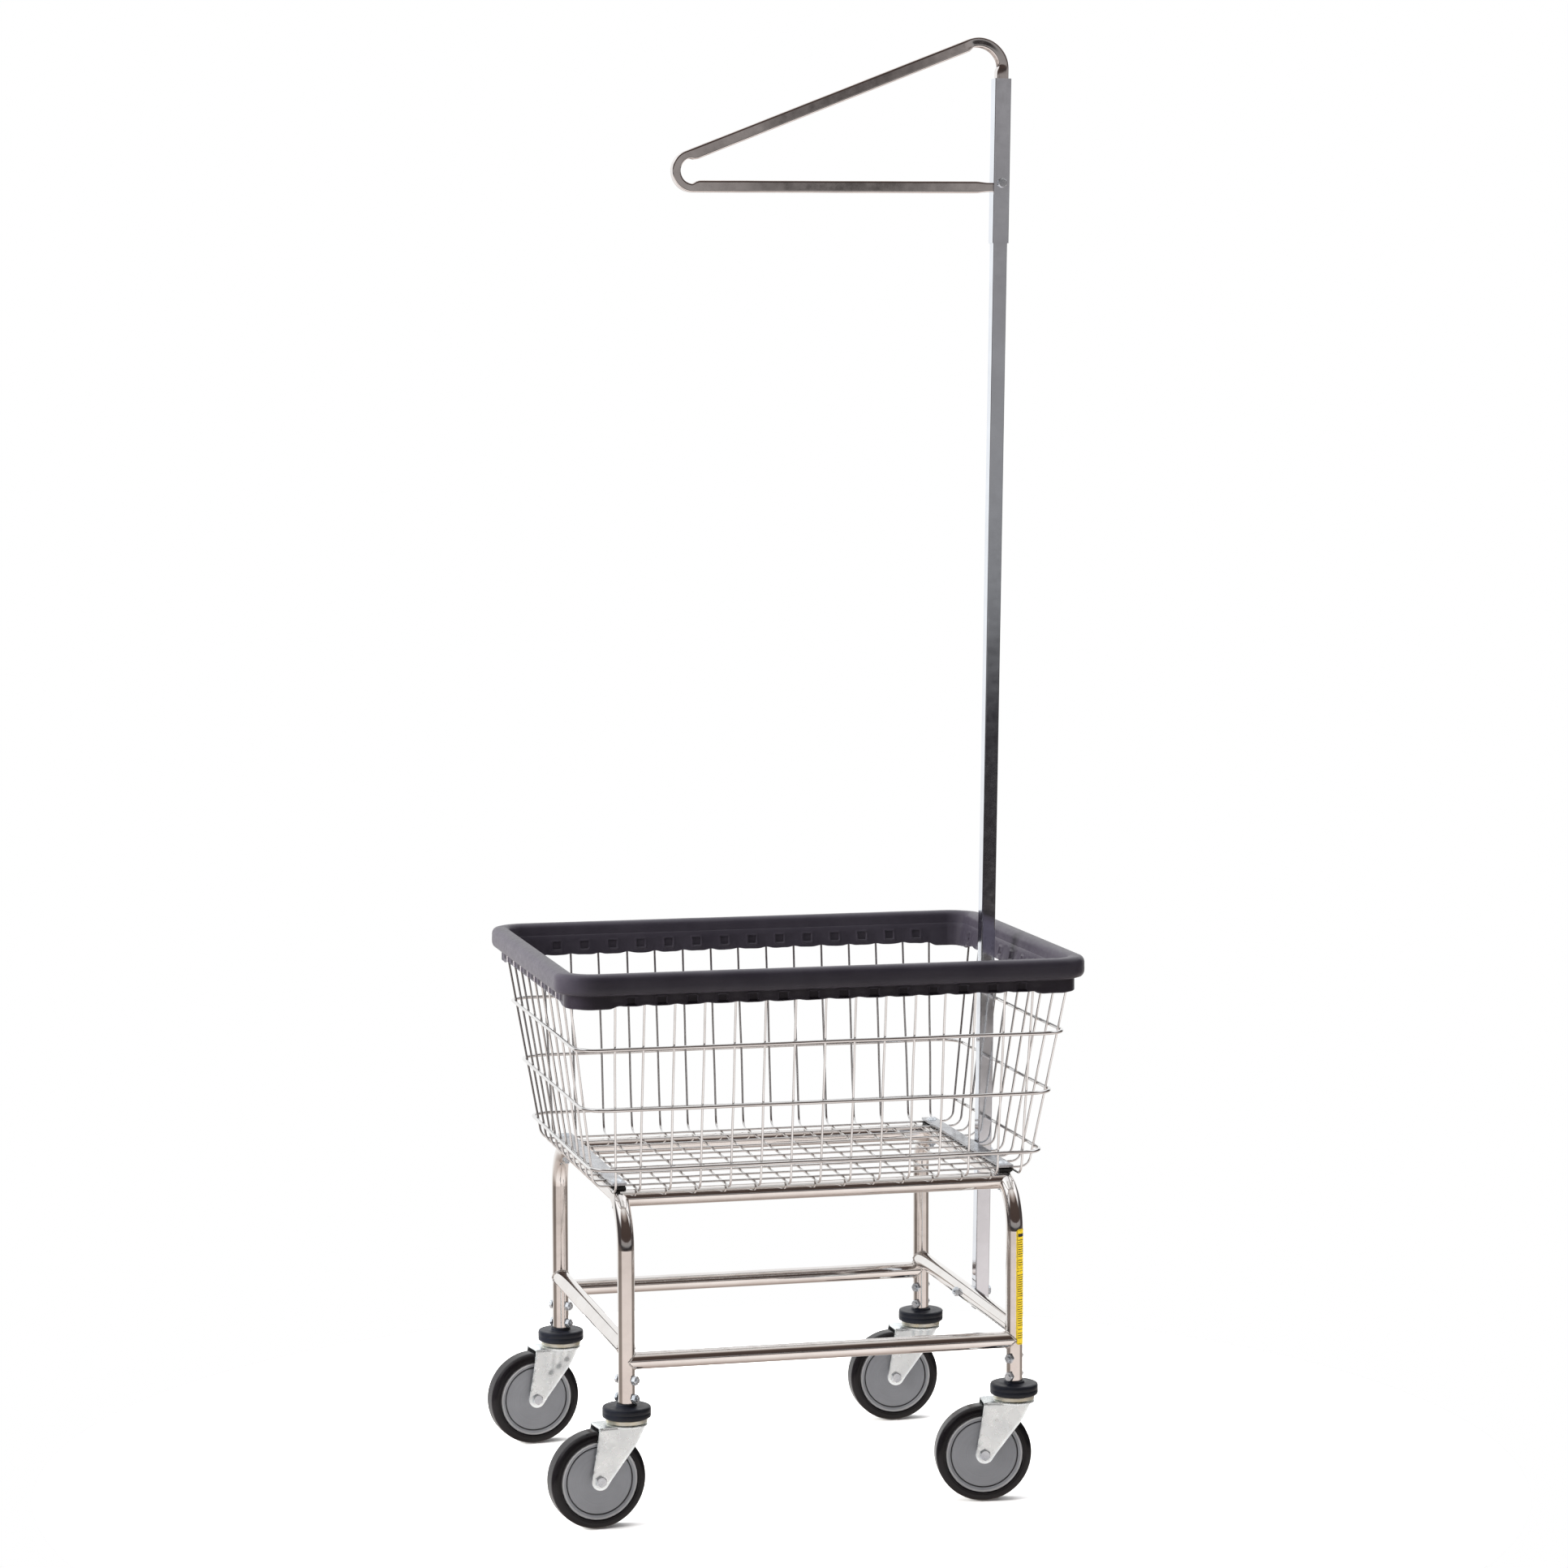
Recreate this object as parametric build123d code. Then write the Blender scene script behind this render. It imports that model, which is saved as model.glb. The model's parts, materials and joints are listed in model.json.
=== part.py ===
from build123d import *
import math
import os

# Laundry cart: a chromed tube frame on four swivel casters carries a tapered
# wire basket with a moulded rim bumper, and a square pole at the right end
# carries a triangular hanging rail.
# Units are millimetres. +Z is up, X runs along the long side (the pole is at
# the +X end), Y is the depth, and the origin is on the floor midway between the
# four legs.

# ---------------------------------------------------------------- dimensions
# round tube of the frame (7/8 in)
tube_od = 22.2
tube_wall = 1.6
leg_x = 260.0            # half the distance between the left and right legs
leg_y = 227.5            # half the distance between the front and back legs
leg_foot_z = 142.0       # lower end of each leg, inside the bumper ring
end_top_z = 420.0        # axis of the cross tube at the top of an end frame
end_bend_r = 62.0        # centreline radius of the end frame's two bends
long_rail_z = 212.8      # axis of the two long bottom rails
side_rail_z = 229.0      # axis of the two short bottom rails
top_rail_y = 187.0       # the two top rails, under the basket
top_rail_z = 417.2
cope_gap = 0.06          # weld gap where a tube meets another

# leg bolts
bolt_r = 3.1
bolt_hole_r = 3.2
bolt_head_af = 11.1
bolt_head_t = 4.2
nut_af = 11.1
nut_t = 5.2
leg_bolt_zs = (165.0, 189.0)

# basket
wire_r = 1.5
hoop_r = 2.4
floor_cross_z = 430.0    # axis of the cross wires where they run under the floor
floor_long_z = 433.0     # axis of the long wires, on top of the cross wires
wall_x = 297.1           # end wall (long wires) at z = 461
wall_x_slope = 0.152
wall_y = 222.0           # side wall (cross wires) at z = 461
wall_y_slope = 0.130
wall_ref_z = 461.0
wire_top_z = 697.5
wire_bend_r = 15.0
cross_pitch = 39.8
cross_end_x_floor = 271.0
cross_end_x_top = 277.5
long_count = 10
long_y_floor = 181.8
long_y_top = 231.0
hoop_zs = (461.0, 540.0, 620.0)
hoop_corner_rs = (27.5, 34.0, 29.0)
hoop_gap = 0.05          # weld gap between hoop and wires
rim_wire_z = 700.3

# rim bumper, outer half sizes in plan and the corner radius of the outer face
rim_hx = 352.0
rim_hy = 277.0
rim_r = 50.0
rim_top_z = 720.5
# section of the bumper: (distance in from the outer face, z)
rim_section = [
    (0.0, 701.5), (0.0, 712.5), (2.0, 717.2), (6.5, 720.0), (12.5, 720.5),
    (18.5, 720.0), (23.0, 717.4), (25.0, 713.0), (32.2, 677.0), (29.4, 677.0),
    (27.6, 690.0), (26.6, 704.6), (15.6, 704.6), (15.8, 690.0), (16.4, 677.0),
    (13.4, 677.0), (13.0, 695.2), (5.0, 695.6), (1.4, 697.6),
]
rim_corner_drop = 4.5    # the two skirts hang lower at the corners
rim_corner_run = 18.0    # how far along each side they do so

# label on the front right leg
label_z0 = 207.0
label_z1 = 361.0
label_t = 0.15
label_gap = 0.03
label_from = -86.0       # degrees round the leg, from +X
label_turn = 80.0

# clamp bars on the basket floor
bar_w = 19.0
bar_t = 3.0
bar_half_len = 190.0
bar_x = 260.0
clamp_bolt_y = 172.0
carriage_head_r = 7.6
carriage_head_t = 3.4

# rack pole (3/4 in square tube), leaning outward a little
pole_s = 19.05
pole_wall = 1.5
pole_corner = 1.6
pole_x_at_rail = 280.8
pole_lean = 0.01495      # outward travel for each mm of height
pole_foot_z = 207.0
pole_top_z = 1790.0
sleeve_s = 22.2
sleeve_wall = 1.45
sleeve_corner = 2.0
sleeve_z0 = 1650.4
sleeve_z1 = 1868.0
sleeve_bolt_z = 1730.0

# hanger arm (5/8 in square tube)
arm_s = 15.9
arm_wall = 1.4
arm_corner = 1.6
arm_start_z = 1812.0
arm_peak_r = 33.0
arm_peak_z = 1929.7      # where the sleeve's axis meets the sloping run's axis
arm_tip_r = 20.0
arm_tip = (-224.8, 1720.6)  # where the axes of the two long runs meet
arm_lower_end = (293.0, 1724.4)

# casters (5 in wheels). Each turns about its leg's axis.
wheel_r = 63.5
wheel_w = 32.0
tyre_in_r = 51.0
trail = 41.5
caster_angle = {"fl": 7.0, "fr": -7.4, "bl": 8.6, "br": 0.3}
caster_at = {"fl": (-1, -1), "fr": (1, -1), "bl": (-1, 1), "br": (1, 1)}
stem_r = 9.3
kingpin_r = 5.0
kingpin_gap = 0.06
ring_r = 31.5
ring_z0 = 140.1
ring_z1 = 155.0
collar_r = 13.8
collar_z1 = 158.2
race_r = 27.0
crown_z0 = 130.0
crown_z1 = 133.0
ball_r = 2.15
ball_pitch_r = 18.5
fork_in = 17.2           # half the distance between the fork's two plates
fork_t = 2.5
axle_r = 4.0
bush_r = 6.5
bush_gap = 0.05
axle_head_af = 12.7


# ------------------------------------------------------------------- helpers
def out(shape, name):
    """Write one node. A list of solids is written as one group."""
    if isinstance(shape, (list, tuple)):
        solids = []
        for s in shape:
            solids.extend(s.solids() if hasattr(s, "solids") else [s])
        shape = Compound(children=[Solid(s.wrapped) for s in solids])
    else:
        solids = shape.solids()
        shape = Solid(solids[0].wrapped) if len(solids) == 1 else Compound(
            children=[Solid(s.wrapped) for s in solids])
    export_step(shape, os.path.join("parts", name + ".step"))


def cyl(p, q, r):
    """Solid cylinder from p to q."""
    p, q = Vector(*p), Vector(*q)
    d = q - p
    return Solid.make_cylinder(r, d.length, Plane(origin=p, z_dir=d.normalized()))


def rounded_path(pts, radii):
    """A wire of straight runs joined by tangent arcs, in 3D."""
    pts = [Vector(*p) for p in pts]
    edges = []
    start = pts[0]
    for i in range(1, len(pts) - 1):
        a = (pts[i - 1] - pts[i]).normalized()
        b = (pts[i + 1] - pts[i]).normalized()
        ang = math.radians(a.get_angle(b))
        t = radii[i - 1] / math.tan(ang / 2)
        p1 = pts[i] + a * t
        p2 = pts[i] + b * t
        bis = (a + b).normalized()
        centre = pts[i] + bis * (radii[i - 1] / math.sin(ang / 2))
        mid = centre - bis * radii[i - 1]
        edges.append(Edge.make_line(start, p1))
        edges.append(Edge.make_three_point_arc(p1, mid, p2))
        start = p2
    edges.append(Edge.make_line(start, pts[-1]))
    return Wire(edges)


def sweep_round(path, r):
    """Round bar along a path."""
    plane = Plane(origin=path @ 0, z_dir=path % 0)
    return Solid.sweep(Wire.make_circle(r, plane), path=path)


def round_square(plane, size, corner):
    h = size / 2
    sk = plane * RectangleRounded(size, size, corner)
    return sk.faces()[0].outer_wire()


def hexagon(p, q, af):
    """Hexagonal prism from p to q."""
    p, q = Vector(*p), Vector(*q)
    d = q - p
    pl = Plane(origin=p, z_dir=d.normalized())
    sk = pl * RegularPolygon(af / math.sqrt(3), 6)
    return Solid.extrude(sk.faces()[0], d)


def chamfered_head(p, q, af):
    """Hex head with its outer corners turned off."""
    h = hexagon(p, q, af)
    p, q = Vector(*p), Vector(*q)
    d = (q - p)
    n = d.normalized()
    c = af / 2 * 1.06
    body = Solid.make_cylinder(af, d.length * 0.72, Plane(origin=p, z_dir=n))
    cone = Solid.make_cone(af * 0.62, af * 0.47, d.length * 0.28,
                           Plane(origin=p + n * (d.length * 0.72), z_dir=n))
    return h & (body + cone)


def rrect_path(hx, hy, r, z, n_start=0):
    """Closed rounded rectangle, starting in the middle of the +Y side."""
    x, y = hx - r, hy - r
    k = r * math.sqrt(0.5)
    e = []
    e.append(Edge.make_line((0, hy, z), (-x, hy, z)))
    e.append(Edge.make_three_point_arc((-x, hy, z), (-x - k, y + k, z), (-hx, y, z)))
    e.append(Edge.make_line((-hx, y, z), (-hx, -y, z)))
    e.append(Edge.make_three_point_arc((-hx, -y, z), (-x - k, -y - k, z), (-x, -hy, z)))
    e.append(Edge.make_line((-x, -hy, z), (x, -hy, z)))
    e.append(Edge.make_three_point_arc((x, -hy, z), (x + k, -y - k, z), (hx, -y, z)))
    e.append(Edge.make_line((hx, -y, z), (hx, y, z)))
    e.append(Edge.make_three_point_arc((hx, y, z), (x + k, y + k, z), (x, hy, z)))
    e.append(Edge.make_line((x, hy, z), (0, hy, z)))
    return Wire(e)


def ring_bar(hx, hy, corner, z, r):
    """Closed hoop of round wire, built of straight bars and quarter tori."""
    x, y = hx - corner, hy - corner
    parts = [cyl((-x, hy, z), (x, hy, z), r), cyl((-x, -hy, z), (x, -hy, z), r),
             cyl((hx, -y, z), (hx, y, z), r), cyl((-hx, -y, z), (-hx, y, z), r)]
    for sx, sy, rot in ((1, 1, 0), (-1, 1, 90), (-1, -1, 180), (1, -1, 270)):
        sec = Plane(origin=(corner, 0, 0), z_dir=(0, 1, 0)) * Circle(r)
        t = Solid.revolve(sec.faces()[0], 90, Axis.Z)
        t = t.moved(Location((0, 0, 0), (0, 0, rot))).moved(Location((sx * x, sy * y, z)))
        parts.append(t)
    return parts[0].fuse(*parts[1:]).solids()[0]


def x_wall(z):
    return wall_x + wall_x_slope * (z - wall_ref_z)


def y_wall(z):
    return wall_y + wall_y_slope * (z - wall_ref_z)


def pole_x(z):
    return pole_x_at_rail + pole_lean * (z - side_rail_z)


os.makedirs("parts", exist_ok=True)

# ---------------------------------------------------------------- tube frame
tr = tube_od / 2


def end_frame_path(x):
    return rounded_path(
        [(x, -leg_y, leg_foot_z), (x, -leg_y, end_top_z), (x, leg_y, end_top_z),
         (x, leg_y, leg_foot_z)], [end_bend_r, end_bend_r])


def end_frame_bar(x, r):
    return sweep_round(end_frame_path(x), r)


def leg_bolt_dir(sx):
    """Unit vector of a leg bolt, pointing to the nut, on the inside of the cart."""
    k = math.sqrt(0.5)
    return Vector(-sx * k, -k, 0)


upper_bolt_z = end_top_z
lower_bolt_z = side_rail_z

bars = {-1: end_frame_bar(-leg_x, tr + cope_gap), 1: end_frame_bar(leg_x, tr + cope_gap)}

for sx, name in ((-1, "left_end_frame"), (1, "right_end_frame")):
    f = end_frame_bar(sx * leg_x, tr) - end_frame_bar(sx * leg_x, tr - tube_wall)
    for sy in (-1, 1):
        d = leg_bolt_dir(sx)
        for z in leg_bolt_zs:
            c = Vector(sx * leg_x, sy * leg_y, z)
            f -= cyl(tuple(c - d * 15), tuple(c + d * 15), bolt_hole_r)
        f -= cyl((sx * bar_x, sy * clamp_bolt_y, 395), (sx * bar_x, sy * clamp_bolt_y, 440),
                 bolt_hole_r)
    if sx > 0:
        f -= cyl((leg_x - 20, 0, upper_bolt_z), (leg_x + 20, 0, upper_bolt_z), bolt_hole_r)
    out(f, name)

# bottom and top rails, coped to the tubes they are welded to
for sy, name in ((-1, "front_bottom_rail"), (1, "back_bottom_rail")):
    p, q = (-leg_x, sy * leg_y, long_rail_z), (leg_x, sy * leg_y, long_rail_z)
    r = cyl(p, q, tr) - cyl(p, q, tr - tube_wall)
    for sx in (-1, 1):
        r -= cyl((sx * leg_x, sy * leg_y, 150), (sx * leg_x, sy * leg_y, 300), tr + cope_gap)
    out(max(r.solids(), key=lambda s: s.volume), name)

for sx, name in ((-1, "left_side_rail"), (1, "right_side_rail")):
    p, q = (sx * leg_x, -leg_y, side_rail_z), (sx * leg_x, leg_y, side_rail_z)
    r = cyl(p, q, tr) - cyl(p, q, tr - tube_wall)
    for sy in (-1, 1):
        r -= cyl((sx * leg_x, sy * leg_y, 150), (sx * leg_x, sy * leg_y, 300), tr + cope_gap)
    r = max(r.solids(), key=lambda s: s.volume)
    if sx > 0:
        r -= cyl((leg_x - 20, 0, lower_bolt_z), (leg_x + 20, 0, lower_bolt_z), bolt_hole_r)
    out(r, name)

for sy, name in ((-1, "front_top_rail"), (1, "back_top_rail")):
    p = (-leg_x, sy * top_rail_y, top_rail_z)
    q = (leg_x, sy * top_rail_y, top_rail_z)
    r = cyl(p, q, tr) - cyl(p, q, tr - tube_wall)
    r = r - bars[-1] - bars[1]
    out(max(r.solids(), key=lambda s: s.volume), name)

# -------------------------------------------------------------------- basket
cross = []
half = 7
for k in range(-half, half + 1):
    if abs(k) == half:
        xf = math.copysign(cross_end_x_floor, k)
        xt = math.copysign(cross_end_x_top, k)
    else:
        xf = xt = k * cross_pitch
    y0 = y_wall(floor_cross_z)
    y1 = y_wall(wire_top_z)
    path = rounded_path([(xt, -y1, wire_top_z), (xf, -y0, floor_cross_z),
                         (xf, y0, floor_cross_z), (xt, y1, wire_top_z)],
                        [wire_bend_r, wire_bend_r])
    cross.append(sweep_round(path, wire_r))
out(cross, "basket_cross_wires")

long_wires = []
for i in range(long_count):
    k = (2 * i - (long_count - 1)) / (long_count - 1)
    yf, yt = k * long_y_floor, k * long_y_top
    x0 = x_wall(floor_long_z)
    x1 = x_wall(wire_top_z)
    path = rounded_path([(-x1, yt, wire_top_z), (-x0, yf, floor_long_z),
                         (x0, yf, floor_long_z), (x1, yt, wire_top_z)],
                        [wire_bend_r, wire_bend_r])
    long_wires.append(sweep_round(path, wire_r))
out(long_wires, "basket_long_wires")

hoops = []
for z, corner in zip(hoop_zs, hoop_corner_rs):
    off = wire_r + hoop_r + hoop_gap + 0.06
    hoops.append(ring_bar(x_wall(z) + off, y_wall(z) + off, corner, z, hoop_r))
hoops.append(ring_bar(x_wall(rim_wire_z), y_wall(rim_wire_z), 30.0, rim_wire_z, hoop_r))
out(hoops, "basket_hoops")

# ---------------------------------------------------------------- rim bumper
# The section is pushed along the straight sides and turned round the corners.
sec_pts = [(rim_r - i, z) for i, z in rim_section]
rx, ry = rim_hx - rim_r, rim_hy - rim_r


def profile_face(pts):
    w = Polyline(*[Plane.XZ.from_local_coords((u, v)) for u, v in pts], close=True)
    return make_face(w.edges()).faces()[0]


def rim_corner(face, sx, sy, rot):
    """A quarter turn of a section round one corner."""
    q = Solid.revolve(face, 90, Axis.Z).moved(Location((0, 0, 0), (0, 0, rot)))
    return q.moved(Location((sx * rx, sy * ry, 0)))


def rim_side(face, offset, y0, y1, turn):
    """A straight run of a section, from y0 to y1 before it is turned."""
    q = Solid.extrude(face, Vector(0, y1 - y0, 0)).moved(Location((offset, y0, 0)))
    return q.moved(Location((0, 0, 0), (0, 0, turn)))


corners = ((1, 1, 0), (-1, 1, 90), (-1, -1, 180), (1, -1, 270))
full = profile_face(sec_pts)
pieces = [rim_corner(full, *c) for c in corners]
pieces += [rim_side(full, rx, -ry, ry, t) for t in (0, 180)]
pieces += [rim_side(full, ry, -rx, rx, t) for t in (90, -90)]
rim = pieces[0].fuse(*pieces[1:])
# the skirts' deeper corners
z0 = min(z for i, z in rim_section)
feet = sorted(rim_r - i for i, z in rim_section if z == z0)
for u0, u1 in ((feet[0], feet[1]), (feet[2], feet[3])):
    drop = profile_face([(u0, z0 - rim_corner_drop), (u1, z0 - rim_corner_drop), (u1, z0), (u0, z0)])
    for k, c in enumerate(corners):
        turn = c[2]
        near, far = (ry, rx) if k % 2 == 0 else (rx, ry)
        off_near, off_far = (rx, ry) if k % 2 == 0 else (ry, rx)
        foot = rim_corner(drop, *c).fuse(
            rim_side(drop, off_near, near - rim_corner_run, near, turn),
            rim_side(drop, off_far, -far, -far + rim_corner_run, turn + 90))
        rim = rim.fuse(foot)
out(rim, "rim_bumper")

# ----------------------------------------------------- clamp bars and pads
bar_z0 = floor_long_z + wire_r + 0.03
bars_out, pads, clamp_bolts, nuts = [], [], [], []
for sx in (-1, 1):
    b = Solid.make_box(bar_w, 2 * bar_half_len, bar_t,
                       Plane(origin=(sx * bar_x - bar_w / 2, -bar_half_len, bar_z0)))
    for sy in (-1, 1):
        b = b - cyl((sx * bar_x, sy * clamp_bolt_y, bar_z0 - 1),
                    (sx * bar_x, sy * clamp_bolt_y, bar_z0 + bar_t + 1), bolt_hole_r)
        pad = Solid.make_box(bar_w - 1, 24, 12,
                             Plane(origin=(sx * bar_x - bar_w / 2 + 0.5,
                                           sy * (clamp_bolt_y + 3.5) - 12,
                                           floor_long_z - wire_r - 0.05 - 12)))
        pad = pad - end_frame_bar(sx * leg_x, tr + 0.03)
        pad = pad - cyl((-leg_x - 30, sy * top_rail_y, top_rail_z),
                        (leg_x + 30, sy * top_rail_y, top_rail_z), tr + 0.03)
        pad = pad - cyl((sx * bar_x, sy * clamp_bolt_y, 395),
                        (sx * bar_x, sy * clamp_bolt_y, 440), bolt_hole_r)
        pad = max(pad.solids(), key=lambda s: s.center().Z)
        pads.append(pad)
        # carriage bolt: low domed head on the bar, nut under the tube
        top = bar_z0 + bar_t + 0.03
        bx, by = sx * bar_x, sy * clamp_bolt_y
        sph_r = (carriage_head_r ** 2 + carriage_head_t ** 2) / (2 * carriage_head_t)
        dome = Solid.make_sphere(sph_r, Plane(origin=(bx, by, top + carriage_head_t - sph_r)),
                                 -90, 90, 360)
        dome = dome & Solid.make_box(40, 40, 20, Plane(origin=(bx - 20, by - 20, top)))
        z_nut = end_top_z - tr - 2.0
        shank = cyl((bx, by, z_nut - nut_t - 3), (bx, by, top + 0.5), bolt_r)
        clamp_bolts.append(dome.fuse(shank))
        n = hexagon((bx, by, z_nut - nut_t), (bx, by, z_nut), nut_af)
        nuts.append(n - cyl((bx, by, z_nut - nut_t - 1), (bx, by, z_nut + 1), bolt_r + 0.04))
    bars_out.append(b)
out(bars_out, "clamp_bars")
out(pads, "clamp_pads")
out(clamp_bolts, "clamp_bolts")

# ----------------------------------------------------------------- leg bolts
leg_bolts = []
for sx in (-1, 1):
    d = leg_bolt_dir(sx)
    for sy in (-1, 1):
        for z in leg_bolt_zs:
            c = Vector(sx * leg_x, sy * leg_y, z)
            reach = tr + 0.15
            shank = cyl(tuple(c - d * (reach + 0.5)), tuple(c + d * (reach + nut_t + 2.2)), bolt_r)
            head = chamfered_head(tuple(c - d * reach), tuple(c - d * (reach + bolt_head_t)),
                                  bolt_head_af)
            leg_bolts.append(head.fuse(shank))
            n = chamfered_head(tuple(c + d * reach), tuple(c + d * (reach + nut_t)), nut_af)
            nuts.append(n - cyl(tuple(c + d * (reach - 1)), tuple(c + d * (reach + nut_t + 1)),
                                bolt_r + 0.04))
out(leg_bolts, "leg_bolts")

# thin label wrapped part of the way round the front right leg
l0, l1 = tr + label_gap, tr + label_gap + label_t
edge = Polyline((l0, 0, label_z0), (l1, 0, label_z0), (l1, 0, label_z1), (l0, 0, label_z1),
                close=True)
label = Solid.revolve(make_face(edge.edges()).faces()[0], label_turn, Axis.Z)
label = label.moved(Location((0, 0, 0), (0, 0, label_from))).moved(Location((leg_x, -leg_y, 0)))
out(label, "leg_label")

# ---------------------------------------------------------------- rack pole
axis_dir = Vector(pole_lean, 0, 1).normalized()


def pole_plane(z):
    return Plane(origin=(pole_x(z), 0, z), z_dir=axis_dir, x_dir=(axis_dir.Z, 0, -axis_dir.X))


def square_tube(z0, z1, s, wall, corner):
    length = (Vector(pole_x(z1), 0, z1) - Vector(pole_x(z0), 0, z0)).length
    pl = pole_plane(z0)
    o = (pl * RectangleRounded(s, s, corner)).faces()[0]
    i = (pl * RectangleRounded(s - 2 * wall, s - 2 * wall, max(0.4, corner - wall))).faces()[0]
    return Solid.extrude(o, axis_dir * length) - Solid.extrude(i, axis_dir * length)


pole = square_tube(pole_foot_z, pole_top_z, pole_s, pole_wall, pole_corner)
pole -= cyl((255, 0, lower_bolt_z), (320, 0, lower_bolt_z), bolt_hole_r + 0.15)
pole -= cyl((255, 0, upper_bolt_z), (320, 0, upper_bolt_z), bolt_hole_r + 0.15)
pole -= cyl((pole_x(sleeve_bolt_z), -30, sleeve_bolt_z), (pole_x(sleeve_bolt_z), 30, sleeve_bolt_z),
            bolt_hole_r)
out(pole, "rack_pole")

# plastic plug in the open foot of the pole
inner = pole_s - 2 * pole_wall - 0.1
pl = pole_plane(pole_foot_z)
plug = Solid.extrude((pl * RectangleRounded(inner, inner, 0.8)).faces()[0], axis_dir * 10)
cap = Solid.extrude((pl * RectangleRounded(pole_s, pole_s, pole_corner)).faces()[0],
                    axis_dir * -2.0)
cap = cap.moved(Location(axis_dir * -0.03))
core = Solid.extrude((pl * RectangleRounded(inner, inner, 0.8)).faces()[0], axis_dir * -0.5)
out(plug.fuse(cap, core), "pole_foot_plug")

# spacer between the end frame's top tube and the leaning pole
sp_x0 = leg_x + tr + 0.03
sp_x1 = pole_x(upper_bolt_z) - pole_s / 2 - 0.12
spacer = cyl((sp_x0, 0, upper_bolt_z), (sp_x1, 0, upper_bolt_z), 7.0)
spacer -= cyl((sp_x0 - 1, 0, upper_bolt_z), (sp_x1 + 1, 0, upper_bolt_z), bolt_hole_r)
out(spacer, "pole_spacer")

rack_bolts = []
for z, tube_c in ((lower_bolt_z, leg_x), (upper_bolt_z, leg_x)):
    xr = pole_x(z) + pole_s / 2 + 0.12
    xl = tube_c - tr - 0.12
    shank = cyl((xr + 0.5, 0, z), (xl - nut_t - 2.0, 0, z), bolt_r)
    head = chamfered_head((xr, 0, z), (xr + bolt_head_t, 0, z), bolt_head_af)
    rack_bolts.append(head.fuse(shank))
    n = chamfered_head((xl, 0, z), (xl - nut_t, 0, z), nut_af)
    nuts.append(n - cyl((xl + 1, 0, z), (xl - nut_t - 1, 0, z), bolt_r + 0.04))

# rack sleeve and its bolt
sleeve = square_tube(sleeve_z0, sleeve_z1, sleeve_s, sleeve_wall, sleeve_corner)
sx_b = pole_x(sleeve_bolt_z)
sleeve -= cyl((sx_b, -30, sleeve_bolt_z), (sx_b, 30, sleeve_bolt_z), bolt_hole_r)
out(sleeve, "rack_sleeve")
yb = sleeve_s / 2 + 0.05
shank = cyl((sx_b, -yb - 0.5, sleeve_bolt_z), (sx_b, yb + nut_t + 2.0, sleeve_bolt_z), bolt_r)
head = chamfered_head((sx_b, -yb, sleeve_bolt_z), (sx_b, -yb - bolt_head_t, sleeve_bolt_z),
                      bolt_head_af)
rack_bolts.append(head.fuse(shank))
n = chamfered_head((sx_b, yb, sleeve_bolt_z), (sx_b, yb + nut_t, sleeve_bolt_z), nut_af)
nuts.append(n - cyl((sx_b, yb - 1, sleeve_bolt_z), (sx_b, yb + nut_t + 1, sleeve_bolt_z),
                    bolt_r + 0.04))
out(rack_bolts, "rack_bolts")
out(nuts, "hex_nuts")

# hanger arm: up out of the sleeve, down the slope, round the tip and back
lower_x = pole_x(arm_lower_end[1]) - sleeve_s / 2 - 0.1
arm_path = rounded_path(
    [(pole_x(arm_start_z), 0, arm_start_z), (pole_x(arm_peak_z), 0, arm_peak_z),
     (arm_tip[0], 0, arm_tip[1]), (lower_x, 0, arm_lower_end[1])],
    [arm_peak_r, arm_tip_r])


def arm_bar(size, corner):
    t = arm_path % 0
    pl = Plane(origin=arm_path @ 0, z_dir=t, x_dir=(t.Z, 0, -t.X))
    return Solid.sweep(round_square(pl, size, corner), path=arm_path)


arm = arm_bar(arm_s, arm_corner) - arm_bar(arm_s - 2 * arm_wall, 0.5)
# the end of the lower run stops on the sleeve's leaning face
trim = Solid.extrude((pole_plane(1650) * Rectangle(sleeve_s + 0.2, sleeve_s * 2)).faces()[0],
                     axis_dir * 110)
arm = arm - trim
out(max(arm.solids(), key=lambda s: s.volume), "hanger_arm")

# ------------------------------------------------------------------- casters


def place(shape, code):
    """Turn a caster piece about its stem axis and put it under its leg."""
    sx, sy = caster_at[code]
    return shape.moved(Location((0, 0, 0), (0, 0, caster_angle[code]))).moved(
        Location((sx * leg_x, sy * leg_y, 0)))


def lathe(profile, axis_origin=(0, 0, 0)):
    """Full turn of (r, z) points about Z."""
    w = Polyline(*[(r, 0, z) for r, z in profile], close=True)
    return Solid.revolve(make_face(w.edges()).faces()[0], 360, Axis.Z)


def wheel_lathe(profile):
    """Full turn of (r, y) points about the wheel's axle, at the wheel's centre."""
    w = Polyline(*[(r, 0, z) for r, z in profile], close=True)
    s = Solid.revolve(make_face(w.edges()).faces()[0], 360, Axis.Z)
    return s.moved(Location((0, 0, 0), (90, 0, 0))).moved(Location((-trail, 0, wheel_r)))


def tyre_solid():
    pts = []
    hw, rf = wheel_w / 2, 8.0
    for a in range(0, 91, 10):
        t = math.radians(a)
        pts.append((wheel_r - rf + rf * math.cos(t), hw - rf + rf * math.sin(t)))
    prof = [(tyre_in_r + 0.03, hw - 1.2), (tyre_in_r + 0.9, hw)]
    outer = list(reversed([(p[0], -p[1]) for p in pts])) + pts
    prof = [(tyre_in_r + 0.03, -(hw - 1.2)), (tyre_in_r + 0.9, -hw)] + outer + [
        (tyre_in_r + 0.9, hw), (tyre_in_r + 0.03, hw - 1.2)]
    return wheel_lathe(prof)


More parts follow.
